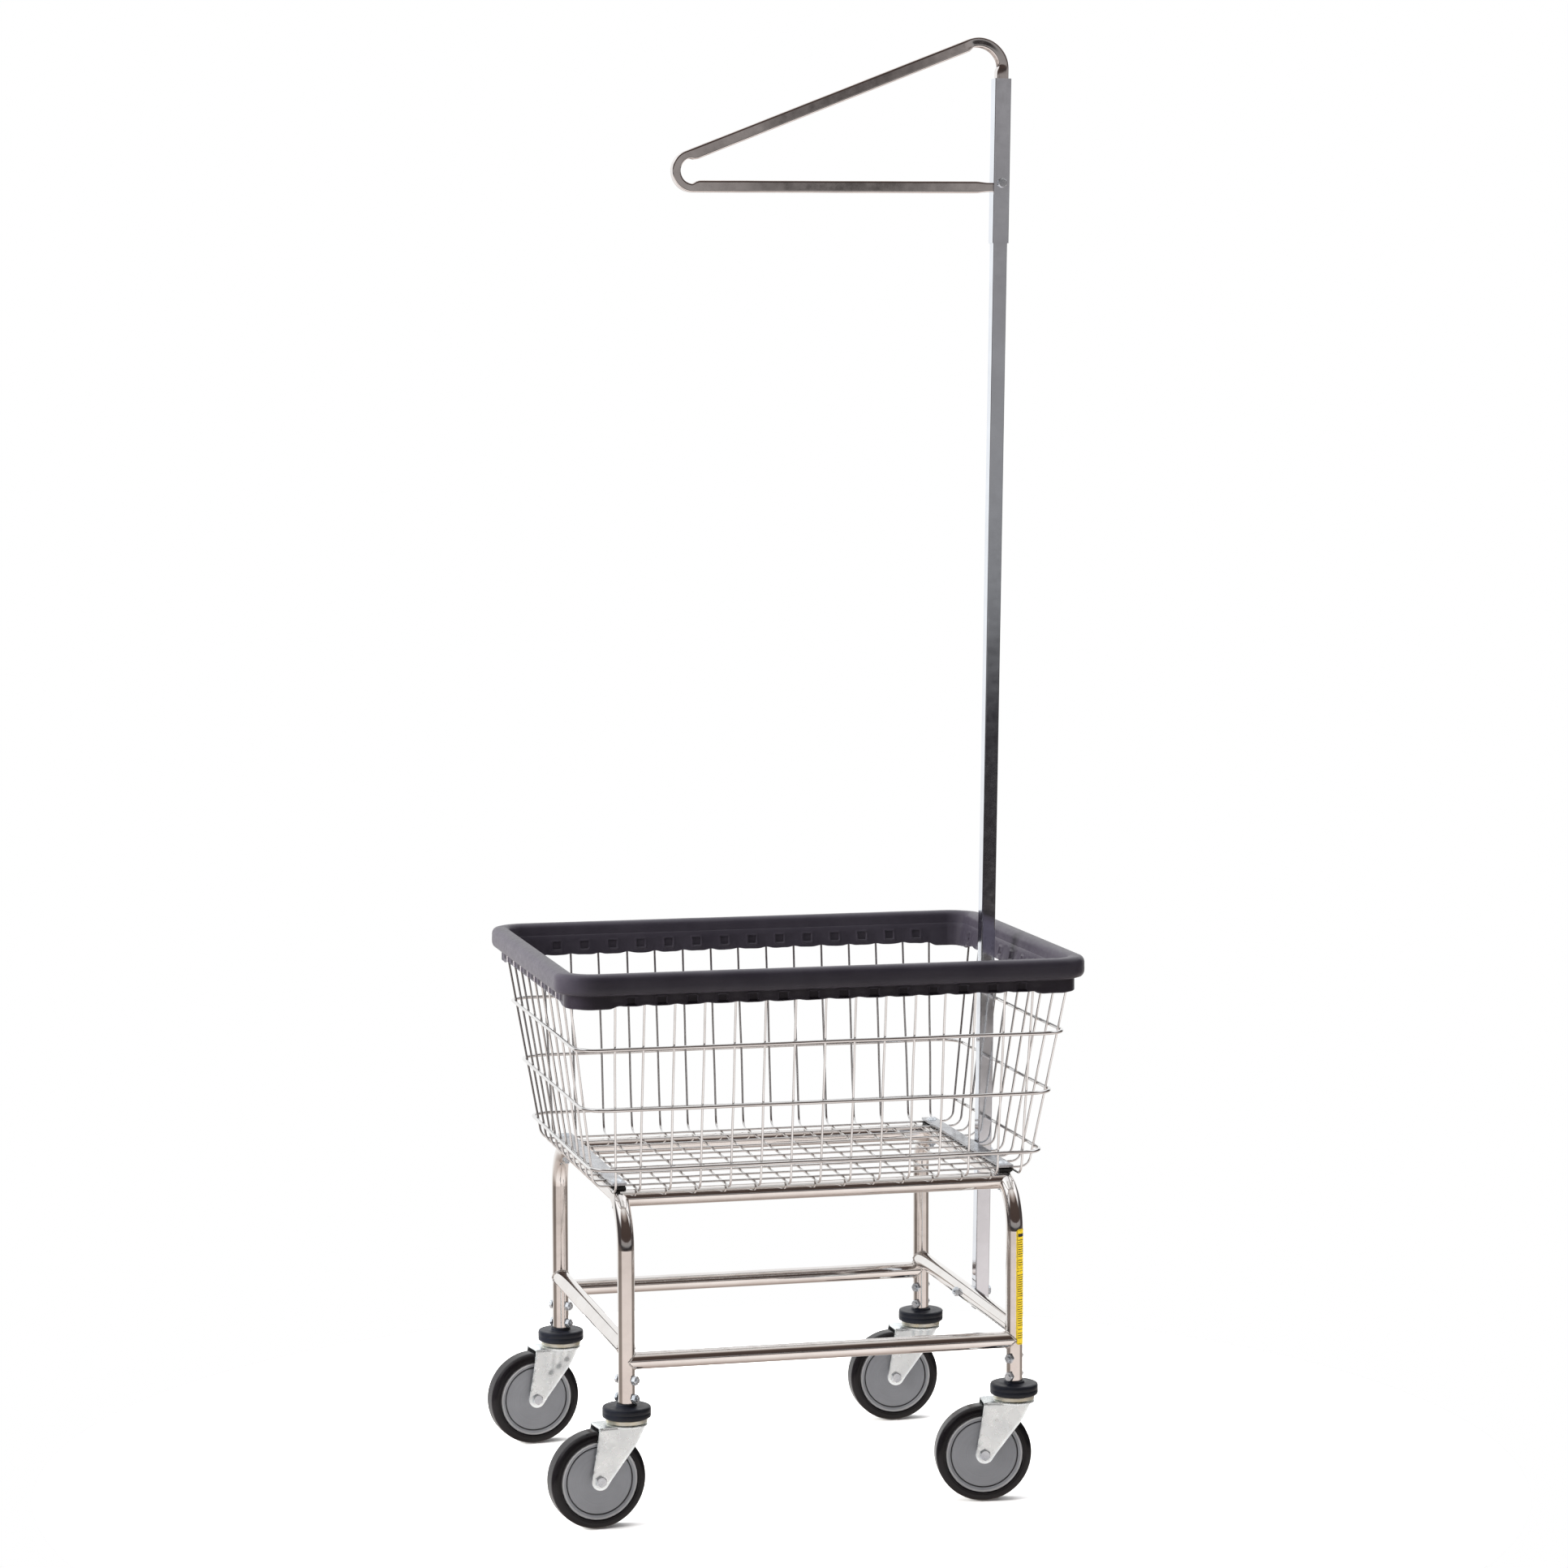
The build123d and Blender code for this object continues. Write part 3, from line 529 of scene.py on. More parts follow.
cross, crossings = Builder(), []
cross_paths = []
HALF = 7
for k in range(-HALF, HALF + 1):
    xf = k * 39.8 if abs(k) < HALF else math.copysign(271.0, k)
    xt = xf if abs(k) < HALF else math.copysign(CROSS_TOP_X, k)
    y0, y1 = wall_y(FLOOR_CROSS), wall_y(WIRE_TOP)
    dx = rng.uniform(-0.5, 0.5)
    pts = path_points([(xt + dx, -y1, WIRE_TOP - 0.5), (xf, -y0, FLOOR_CROSS), (xf, y0, FLOOR_CROSS),
                       (xt - dx, y1, WIRE_TOP - 0.5)], [15.0, 15.0], step=9.0, arc_deg=9.0)
    pts = [p + Vector(((noise.noise(Vector((k * 5.1, p.z * 0.012, p.y * 0.006)))) * 0.7, 0, 0)) for p in pts]
    cross.add(*tube(pts, WIRE_R, 12, end_round=1.2)[:2], uv=tube(pts, WIRE_R, 12)[2])
    cross_paths.append((xf, xt))
cross_ob = cross.object("basket_cross_wires_fine", chrome_wire, "frame", "wire_chrome", sharp=50)
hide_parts("basket_cross_wires")

longs = Builder()
long_paths = []
for i in range(10):
    k = (2 * i - 9) / 9
    yf, yt = k * 181.8, k * LONG_TOP_Y
    x0, x1 = wall_x(FLOOR_LONG), wall_x(WIRE_TOP)
    pts = path_points([(-x1, yt, WIRE_TOP - 0.5), (-x0, yf, FLOOR_LONG), (x0, yf, FLOOR_LONG),
                       (x1, yt, WIRE_TOP - 0.5)], [15.0, 15.0], step=9.0, arc_deg=9.0)
    pts = [p + Vector((0, noise.noise(Vector((i * 4.3 + 50, p.z * 0.012, p.x * 0.005))) * 0.7, 0)) for p in pts]
    t = tube(pts, WIRE_R, 12, end_round=1.2)
    longs.add(t[0], t[1], uv=t[2])
    long_paths.append((yf, yt))
long_ob = longs.object("basket_long_wires_fine", chrome_wire, "frame", "wire_chrome", sharp=50)
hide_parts("basket_long_wires")


def rounded_rect(hx, hy, r, z, step=6.0, arc=7.5, start=0.0):
    """Closed loop of points, anticlockwise seen from above, from the middle of +Y side."""
    pts = []
    x, y = hx - r, hy - r

    def line(a, b):
        n = max(1, int(round((Vector(b) - Vector(a)).length / step)))
        for q in range(n):
            pts.append(Vector(a).lerp(Vector(b), q / n))

    def corner(cx, cy, a0):
        n = int(round(90 / arc))
        for q in range(n):
            a = math.radians(a0 + 90 * q / n)
            pts.append(Vector((cx + r * math.cos(a), cy + r * math.sin(a), z)))

    line((0, hy, z), (-x, hy, z))
    corner(-x, y, 90)
    line((-hx, y, z), (-hx, -y, z))
    corner(-x, -y, 180)
    line((-x, -hy, z), (x, -hy, z))
    corner(x, -y, 270)
    line((hx, -y, z), (hx, y, z))
    corner(x, y, 0)
    line((x, hy, z), (0, hy, z))
    return pts


HOOPS = ((461.0, 27.5), (540.0, 34.0), (620.0, 29.0))
hoops = Builder()
for z, r in HOOPS:
    off = WIRE_R + HOOP_R + 0.05
    pts = rounded_rect(wall_x(z) + off, wall_y(z) + off, r, z, step=10.0)
    pts = [p + Vector((0, 0, noise.noise(Vector((p.x * 0.006, p.y * 0.006, z))) * 1.1)) for p in pts]
    t = tube(pts, HOOP_R, 16, closed=True)
    hoops.add(t[0], t[1], uv=t[2])
t = tube(rounded_rect(wall_x(700.3), wall_y(700.3), 30.0, 700.3), HOOP_R, 12, closed=True)
hoops.add(t[0], t[1], uv=t[2])
hoop_ob = hoops.object("basket_hoops_fine", chrome_wire, "frame", "wire_chrome", sharp=60)
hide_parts("basket_hoops")

# resistance-weld nuggets where the wires cross
nug = Builder()


def blob(centre, a, b, c, ra, rb, rc):
    vs, fs = [], []
    nu, nv = 8, 5
    vs.append(centre + c * rc)
    for i in range(1, nv):
        th = math.pi * i / nv
        for j in range(nu):
            ph = 2 * math.pi * j / nu
            vs.append(centre + a * (ra * math.sin(th) * math.cos(ph)) + b * (rb * math.sin(th) * math.sin(ph))
                      + c * (rc * math.cos(th)))
    vs.append(centre - c * rc)
    for j in range(nu):
        fs.append((0, 1 + j, 1 + (j + 1) % nu))
    for i in range(nv - 2):
        for j in range(nu):
            p = 1 + i * nu
            fs.append((p + j, p + nu + j, p + nu + (j + 1) % nu, p + (j + 1) % nu))
    last = len(vs) - 1
    p = 1 + (nv - 2) * nu
    for j in range(nu):
        fs.append((last, p + (j + 1) % nu, p + j))
    return vs, fs


X, Y, Z = Vector((1, 0, 0)), Vector((0, 1, 0)), Vector((0, 0, 1))
for xf, xt in cross_paths:
    for yf, yt in long_paths:
        c = Vector((xf, yf, (FLOOR_CROSS + FLOOR_LONG) / 2))
        nug.add(*blob(c, X, Y, Z, 1.7 + rng.uniform(-.1, .25), 1.7 + rng.uniform(-.1, .25), 1.35))
for z, r in HOOPS:
    f = (z - FLOOR_CROSS) / (WIRE_TOP - FLOOR_CROSS)
    for xf, xt in cross_paths:
        x = xf + (xt - xf) * f
        for s in (-1, 1):
            nug.add(*blob(Vector((x, s * (wall_y(z) + WIRE_R), z)), X, Z, Y, 1.7, 2.2, 1.5))
    for yf, yt in long_paths:
        y = yf + (yt - yf) * f
        for s in (-1, 1):
            nug.add(*blob(Vector((s * (wall_x(z) + WIRE_R), y, z)), Y, Z, X, 1.7, 2.2, 1.5))
nug_ob = nug.object("basket_weld_nuggets", weld, "frame", "wire_chrome")


# ------------------------------------------------------------- rim bumper
RIM_HX, RIM_HY = box_mm("rim_bumper")[1].x, box_mm("rim_bumper")[1].y
RIM_TOP = box_mm("rim_bumper")[1].z
RIM_LOW = box_mm("rim_bumper")[0].z
RIM_BOT = 677.0          # lower edge of the skirts along the sides
RIM_R = 50.0


def rim_loop(step=1.25):
    """Points of the outer line with their outward normal and run length."""
    hx, hy, r = RIM_HX, RIM_HY, RIM_R
    x, y = hx - r, hy - r
    out = []

    def line(a, b, nrm, tag):
        n = max(1, int(round((Vector(b) - Vector(a)).length / step)))
        for q in range(n):
            out.append((Vector(a).lerp(Vector(b), q / n), Vector(nrm), tag))

    def corner(cx, cy, a0):
        n = 44
        for q in range(n):
            a = math.radians(a0 + 90 * q / n)
            d = Vector((math.cos(a), math.sin(a), 0))
            out.append((Vector((cx, cy, 0)) + d * r, d, "corner"))

    line((0, hy, 0), (-x, hy, 0), (0, 1, 0), "back")
    corner(-x, y, 90)
    line((-hx, y, 0), (-hx, -y, 0), (-1, 0, 0), "left")
    corner(-x, -y, 180)
    line((-x, -hy, 0), (x, -hy, 0), (0, -1, 0), "front")
    corner(x, -y, 270)
    line((hx, -y, 0), (hx, y, 0), (1, 0, 0), "right")
    corner(x, y, 0)
    line((x, hy, 0), (0, hy, 0), (0, 1, 0), "back")
    return out


# centres of the wires along each side of the rim, where the bumper is pinched
side_x = [xt for xf, xt in cross_paths]
end_y = [yt for yf, yt in long_paths]


def bump01(t):
    t = max(0.0, min(1.0, t))
    return t * t * (3 - 2 * t)


def soft_square(du, dz, w, h, edge):
    """1 inside a rounded square, falling to 0 over edge."""
    qx, qz = max(abs(du) - w + edge, 0), max(abs(dz) - h + edge, 0)
    d = math.hypot(qx, qz)
    return 1 - bump01(d / (2 * edge))


def corner_depth(p):
    """1 round the corners, where the skirts hang lower, falling to 0 along the sides."""
    gx, gy = RIM_HX - RIM_R - abs(p.x), RIM_HY - RIM_R - abs(p.y)
    gap = gx if abs(p.y) > RIM_HY - 1 else gy
    return 1 - bump01((gap - 16.0) / 16.0)


def rim_section(p, nrm, tag):
    """Section points (inset, z, mark), the outer face first, over the top and down; mark 1 and 3 pick painted shade,
    mark 2 a painted highlight.
    """
    long_side = tag in ("back", "front")
    along = p.x if long_side else p.y
    marks = side_x if long_side else end_y
    is_corner = tag == "corner"
    if is_corner:
        dw, dm = 99.0, 99.0
    else:
        # distance to the nearest wire and to the nearest gap between wires
        dw = min(abs(along - m) for m in marks)
        mids = [(marks[i] + marks[i + 1]) / 2 for i in range(len(marks) - 1)]
        mid = min(mids, key=lambda m: abs(along - m))
        dm = along - mid
    wire = math.exp(-(dw / 7.0) ** 2)        # 1 at a wire
    n1 = noise.noise(Vector((p.x * 0.02, p.y * 0.02, 3.0)))
    n2 = noise.noise(Vector((p.x * 0.07, p.y * 0.07, 9.0)))
    n3 = noise.noise(Vector((p.x * 0.011, p.y * 0.011, 21.0)))
    sag = 0.35 * n1
    cd = corner_depth(p) * (RIM_BOT - RIM_LOW - 0.35)
    up = (1.9 if long_side else 1.3) * wire + 0.6 * n2
    pts = []
    # outer face and the rolled top
    pts += [(0.55, 698.4, 0), (0.12, 700.4, 0), (0.0, 704.0, 0), (0.10 + 0.15 * n1, 708.0, 0), (0.15, 712.0, 0),
            (0.7, 715.0, 0), (2.2, 717.6, 0), (4.4, 719.3, 0), (7.0, 720.0 + 0.2 * n1, 0), (10.5, 720.4, 0),
            (14.5, 720.4, 0), (18.0, 720.0, 0), (20.8, 719.0, 0), (22.9, 717.0, 0), (24.0, 714.6, 0),
            (24.6, 711.6, 0)]
    # inner face with its pressed squares between the wires
    zb = RIM_BOT + 0.6 + up - cd
    rows = 30
    for i in range(rows):
        f = i / (rows - 1)
        z = 709.0 + (zb - 709.0) * f
        inset = 25.0 + 7.0 * (709.0 - z) / 32.0
        pin, mark = 0.0, 0
        if not is_corner:
            zc = 690.0 if long_side else 689.0
            w, h = (5.6, 5.2) if long_side else (6.4, 4.8)
            sq = soft_square(dm, z - zc, w, h, 0.9)
            lip = soft_square(dm, z - zc, w + 2.4, h + 2.4, 1.3)
            pin = 0.9 * (lip - sq) - 2.3 * sq
            pin -= 0.8 * wire * bump01((703 - z) / 14)
            # mark 1: faces inside the recessed square get the painted shade material
            mark = 1 if sq > 0.6 else 0
            if not long_side:
                # the ends are pinched in soft vertical folds
                pin += 0.8 * math.cos(2 * math.pi * dm / 25.65) * bump01((704 - z) / 12)
        pin += 0.3 * n2 + 0.5 * n3 * bump01((706 - z) / 20)
        # positive pin stands out into the basket
        pts.append((min(32.3, inset + pin) + sag * 0.5, z, mark))
    # bottom lip of the inner skirt
    pts += [(31.5, zb - 0.55, 0), (30.2, zb - 0.6, 0), (29.2, zb + 0.6, 0)]
    # groove that takes the wire ends
    pts += [(27.9, 690.0, 0), (26.9, 703.4, 0), (25.6, 704.6, 0), (16.4, 704.6, 0), (15.7, 703.4, 0),
            (16.15, 692.0, 0)]
    # outer skirt, pinched to each wire, with a pressed square between wires
    low = RIM_BOT + 0.9 + 0.8 * up - cd * 0.72
    pts += [(16.6, low + 0.6, 0), (15.9, low - 0.45, 0), (14.4, low - 0.4, 0)]
    rows = 18
    for i in range(rows):
        f = i / (rows - 1)
        z = low + 0.8 + (691.6 - low - 0.8) * f
        pin, mark = 0.0, 0
        if not is_corner:
            if long_side:
                sq = soft_square(dm, z - 684.6, 6.2, 4.9, 1.0)
                lip = soft_square(dm, z - 684.6, 8.8, 7.2, 1.5)
                pin = 2.0 * sq - 0.8 * (lip - sq) + 0.9 * wire * bump01((692 - z) / 10)
                # mark 1: faces inside the recessed square get the painted shade material
                mark = 1 if sq > 0.6 else 0
            else:
                rib = math.exp(-(dw / 4.2) ** 2)
                sq = soft_square(dm, z - 684.6, 8.6, 5.6, 1.6)
                pin = 0.9 + 1.1 * sq - 2.7 * rib
                # mark 2: the raised rib gets the painted highlight material; mark 1: the recessed square gets painted
                # shade
                mark = 2 if rib > 0.55 else (1 if sq > 0.6 else 0)
        # mark 3: painted shade on the outer skirt of the long sides and corners
        if mark == 0 and (long_side or is_corner):
            mark = 3
        pts.append((max(10.9, 13.2 + pin) + 0.2 * n2, z, mark))
    # underside of the roll, its outer band in the painted shade material (mark 3)
    pts += [(12.6, 692.6, 3), (9.5, 693.0, 3), (6.0, 693.2, 0), (3.4, 694.0, 0), (1.6, 695.9, 0)]
    return pts


loop = rim_loop()
verts, faces, uv, marks, face_mats = [], [], [], [], []
s = 0.0
K = None
for i, (p, nrm, tag) in enumerate(loop):
    sec = rim_section(p, nrm, tag)
    K = len(sec)
    if i:
        s += (p - loop[i - 1][0]).length
    for j, (inset, z, mark) in enumerate(sec):
        marks.append(mark)
        z = min(max(z, RIM_LOW + 0.05), RIM_TOP)
        inset = max(inset, 0.0)
        v = p - nrm * inset
        verts.append(Vector((v.x, v.y, z)))
        uv.append((s * MM, j / K))
N = len(loop)
for i in range(N):
    i2 = (i + 1) % N
    for j in range(K):
        j2 = (j + 1) % K
        faces.append((i * K + j, i2 * K + j, i2 * K + j2, i * K + j2))
        ms = [marks[q] for q in faces[-1]]
        # material 1 is painted shade in the pressed squares, 2 a painted highlight on the end ribs, 3 painted shade on
        # the long-side skirts and under the roll
        face_mats.append(next((q for q in (1, 2, 3) if ms.count(q) >= 3), 0))
rim = make_object("rim_bumper_fine", verts, faces, [rim_mat, rim_dimple_shade_mat, rim_rib_highlight_mat, rim_skirt_shade_mat], "frame", "rim_vinyl",
                  uvs=uv, sharp=70, face_mats=face_mats)
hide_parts("rim_bumper")


# ------------------------------------------------------------- hanger arm
slo, shi = box_mm("rack_sleeve")
plo, phi = box_mm("rack_pole")
alo, ahi = box_mm("hanger_arm")
POLE_LEAN = 0.01495
SLEEVE_S = shi.y - slo.y


def pole_x(z):
    return 280.8 + POLE_LEAN * (z - SIDE_Z)


ARM = ahi.y - alo.y
low_end = Vector((pole_x(1724.4) - SLEEVE_S / 2 - 0.15, 0, 1724.4))
tip = Vector((-224.8, 0, 1720.6))
peak = Vector((pole_x(1929.7), 0, 1929.7))
arm_pts = path_points([(pole_x(1815.0), 0, 1815.0), peak, tip, low_end], [33.0, 20.0], step=4.0,
                      arc_deg=4.0)
run = [0.0]
for i in range(1, len(arm_pts)):
    run.append(run[-1] + (arm_pts[i] - arm_pts[i - 1]).length)
TOTAL = run[-1]


def nearest_run(q):
    return min(range(len(arm_pts)), key=lambda i: (arm_pts[i] - Vector(q)).length)


up = (peak - tip).normalized()
s_b1 = run[nearest_run((pole_x(1881), 0, 1881))]
s_b2 = run[nearest_run(peak - up * 48)]
# the tip's bend is squashed between these two runs
ti = min(range(len(arm_pts)), key=lambda i: arm_pts[i].x)
s_tip = run[ti]
s_t1, s_t2 = s_tip - 30.0, s_tip + 34.0
ring = rounded_square(ARM, 1.7, seg=4, side=7)


def window(s, a, b, soft):
    return bump01((s - a) / soft) * bump01((b - s) / soft)


def arm_section(i, n, s):
    """The wall on the inside of each bend is driven into the tube."""
    c1 = window(s, s_b1 - 3, s_b2 + 7, 9.0)          # bend above the sleeve
    c2 = window(s, s_t1 - 5, s_t2 + 5, 10.0)          # bend at the tip
    end = bump01((s - (TOTAL - 24)) / 18)             # flattened end welded to the sleeve
    out = []
    for u, w in ring:
        # u points across the bend (to its outside when negative), w is sideways
        uu, ww = u, w
        h = ARM / 2
        inner = bump01((u * arm_in + h) / (2 * h))     # 0 outside wall, 1 inside wall
        mid = max(0.0, 1 - (w / (h * 0.92)) ** 2)
        crush = 0.62 * c1 + 1.02 * c2
        uu = u - arm_in * inner * crush * h * (0.55 + 0.75 * mid)
        ww = w * (1 + 0.0 * crush - 0.10 * c1 * inner)
        outer = 1 - inner
        uu += arm_in * outer * 0.10 * h * (c1 + c2) * mid
        ripple = 0.35 * math.sin(s * 0.55) * (c1 + c2) * inner * mid
        uu += ripple
        uu = uu * (1 - 0.22 * end) + 0.4 * end * math.sin(s * 0.9) * mid
        dent = 0.10 * noise.noise(Vector((s * 0.02, u * 0.1, w * 0.1 + 4)))
        out.append((uu + dent, ww))
    return out


# side of the first frame axis that faces the inside of the bends
fr0 = frames_along(arm_pts, False, (1, 0, 0))
bi = nearest_run(peak - up * 24)
centre_dir = (Vector((pole_x(1881) - 33, 0, 1881)) - arm_pts[bi]).normalized()
arm_in = 1.0 if fr0[bi][1].dot(centre_dir) > 0 else -1.0
t = sweep(arm_pts, arm_section, False, (1, 0, 0), caps=True)
arm_ob = make_object("hanger_arm_fine", t[0], t[1], chrome_arm, "frame", "pole_steel", uvs=t[2], sharp=50)
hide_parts("hanger_arm")

# ------------------------------------------------------------------ casters
for code, c in CORNERS.items():
    fork_body, wheel_body = "caster_fork_" + code, "wheel_" + code
    # local frame of a caster: x forward from the axle to the stem, y to the left, z up
    fwd = -c["back"]
    left = Z.cross(fwd)
    base = Matrix(((fwd.x, left.x, 0, c["stem"].x), (fwd.y, left.y, 0, c["stem"].y),
                   (0, 0, 1, 0), (0, 0, 0, 1)))
    wheel = base @ Matrix.Translation((-c["trail"], 0, WHEEL_R)) @ Matrix.Rotation(math.radians(90), 4, "X")
    # tyre
    HW, RF = 16.0, 8.0
    prof = [(51.03, -14.6), (51.6, -15.7), (52.6, -HW)]
    outer = []
    for a in range(0, 91, 6):
        th = math.radians(a)
        outer.append((WHEEL_R - RF + RF * math.cos(th) - 0.0, HW - RF + RF * math.sin(th)))
    side = [(WHEEL_R - RF - 1.0, HW), (54.6, HW), (54.0, HW - 0.35), (53.4, HW)]
    full = outer + side
    prof = [(51.03, -14.6), (51.6, -15.7), (52.6, -HW)] + [(r, -h) for r, h in reversed(full)]
    crown = [(WHEEL_R - 0.0, -4.0), (WHEEL_R, 0.0), (WHEEL_R, 4.0)]
    prof += crown + full + [(52.6, HW), (51.6, 15.7), (51.03, 14.6)]
    ty = lathe_object("tyre_fine_" + code, prof, wheel, tyre_mat, wheel_body, "tyre_rubber", n=128, sharp=45)
    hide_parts("tyre_" + code)
    # hub with a thin groove round its disc and a raised boss
    half = [(6.56, 16.5), (10.6, 16.6), (11.3, 16.2), (11.7, 15.0), (12.6, 14.5), (14.2, 14.3),
            (20.0, 14.1), (26.0, 13.95), (33.0, 13.8), (41.6, 13.62), (42.8, 13.58), (43.3, 13.2),
            (43.5, 12.3), (44.6, 12.3), (44.9, 13.6), (45.3, 14.2), (46.2, 14.5), (48.0, 14.7),
            (49.2, 15.2), (50.2, 15.2), (50.98, 14.2)]
    # which material each step of the half profile has
    def hub_step(r):
        if 43.2 <= r <= 44.8:
            return 2
        return 1 if r > 48.4 else 0
    prof = half + [(r, -h) for r, h in reversed(half)]
    marks = [hub_step((prof[j][0] + prof[(j + 1) % len(prof)][0]) / 2) for j in range(len(prof))]
    hb = lathe_object("wheel_hub_fine_" + code, prof, wheel, [hub_mat, hub_ring_mat, groove_mat],
                      wheel_body, "hub_plastic", n=128, sharp=40, ring_mats=marks)
    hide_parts("wheel_hub_" + code)
    # bumper ring and its collar
    place = Matrix.Translation(c["stem"])
    rl, rh = box_mm("bumper_ring_" + code)
    RR = (rh.x - rl.x) / 2
    ringp = [(11.35, rl.z), (14.0, rl.z), (28.6, rl.z + 0.05), (30.1, rl.z + 0.35), (31.1, rl.z + 1.1),
             (RR, rl.z + 2.4), (RR, rl.z + 6.8), (RR - 0.25, rl.z + 7.3), (RR, rl.z + 7.8), (RR, 152.2),
             (31.2, 153.4), (30.5, 154.4), (29.2, 154.95), (26.0, 155.0), (15.0, 154.8), (14.2, 155.1),
             (13.8, 155.8), (13.6, 157.2), (13.0, rh.z - 0.2), (12.2, rh.z), (11.35, rh.z)]
    rb = lathe_object("bumper_ring_fine_" + code, ringp, place, ring_mat, "frame", "ring_rubber",
                      n=112, sharp=50)
    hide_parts("bumper_ring_" + code)


# ------------------------------------------------------------- caster forks
def fork_outline():
    """Side plate outline in (x, z), closed."""
    ax, az, r = -41.5, WHEEL_R, 11.8
    pts = [(-42.4, 132.4), (-47.0, 101.0), (-53.1, 65.2)]
    for a in range(172, 325, 9):
        th = math.radians(a)
        pts.append((ax + r * math.cos(th), az + r * math.sin(th)))
    pts += [(-25.8, 65.7), (-16.2, 78.0), (-6.5, 90.6), (0.0, 98.9), (6.0, 106.4), (11.0, 115.0), (15.6, 124.0),
            (18.6, 130.6), (19.4, 132.4)]
    return pts


def in_poly(x, z, poly):
    inside = False
    n = len(poly)
    for i in range(n):
        x1, z1 = poly[i]
        x2, z2 = poly[(i + 1) % n]
        if (z1 > z) != (z2 > z) and x < (x2 - x1) * (z - z1) / (z2 - z1) + x1:
            inside = not inside
    return inside


def fork_plate(side, relief):
    """One plate, its outer face shaped by relief(x, z) in mm."""
    poly = fork_outline()
    bm = bmesh.new()
    vs = [bm.verts.new((x, 0, z)) for x, z in poly]
    face = bm.faces.new(vs)
    bm.normal_update()
    # cut into strips so that the pressed relief has points to move
    lo_x = min(p[0] for p in poly)
    hi_x = max(p[0] for p in poly)
    lo_z = min(p[1] for p in poly)
    hi_z = max(p[1] for p in poly)
    x = lo_x + 2.2
    while x < hi_x:
        bmesh.ops.bisect_plane(bm, geom=bm.verts[:] + bm.edges[:] + bm.faces[:], plane_co=(x, 0, 0), plane_no=(1, 0, 0))
        x += 2.2
    z = lo_z + 2.2
    while z < hi_z:
        bmesh.ops.bisect_plane(bm, geom=bm.verts[:] + bm.edges[:] + bm.faces[:], plane_co=(0, 0, z), plane_no=(0, 0, 1))
        z += 2.2
    bmesh.ops.remove_doubles(bm, verts=bm.verts, dist=0.01)
    bm.verts.ensure_lookup_table()
    edge_verts = {v.index for e in bm.edges if e.is_boundary for v in e.verts}
    front, idx = [], {}
    for v in bm.verts:
        idx[v.index] = len(front)
        front.append((v.co.x, v.co.z, v.index in edge_verts))
    faces = [[idx[v.index] for v in f.verts] for f in bm.faces]
    border = [(idx[e.verts[0].index], idx[e.verts[1].index]) for e in bm.edges if e.is_boundary]
    bm.free()
    y_out, y_in = 19.7, 17.25
    verts, fs = [], []
    n = len(front)
    for x, z, e in front:
        h = relief(x, z)
        verts.append((x, side * (y_out + h - (0.5 if e else 0.0)), z))
    for x, z, e in front:
        verts.append((x, side * (y_in + (0.3 if e else 0.0)), z))
    for f in faces:
        fs.append(f if side > 0 else f[::-1])
        fs.append([i + n for i in (f[::-1] if side > 0 else f)])
    for a, b in border:
        fs.append([a, b, b + n, a + n])
    return verts, fs


def flat_relief(x, z):
    d = math.hypot(x + 27.0, z - 112.0)
    return -0.25 * bump01((2.6 - d) / 0.9)


def ribbed_relief(x, z):
    h = 0.0
    for x0, z0, z1 in ((-20.0, 96.0, 130.0), (-9.5, 104.0, 130.0), (1.5, 113.0, 130.0)):
        if z0 - 4 < z:
            along = bump01((z - z0) / 7.0)
            h -= 1.0 * along * math.exp(-((x - x0 - (z - 115) * 0.12) / 2.4) ** 2)
    return h


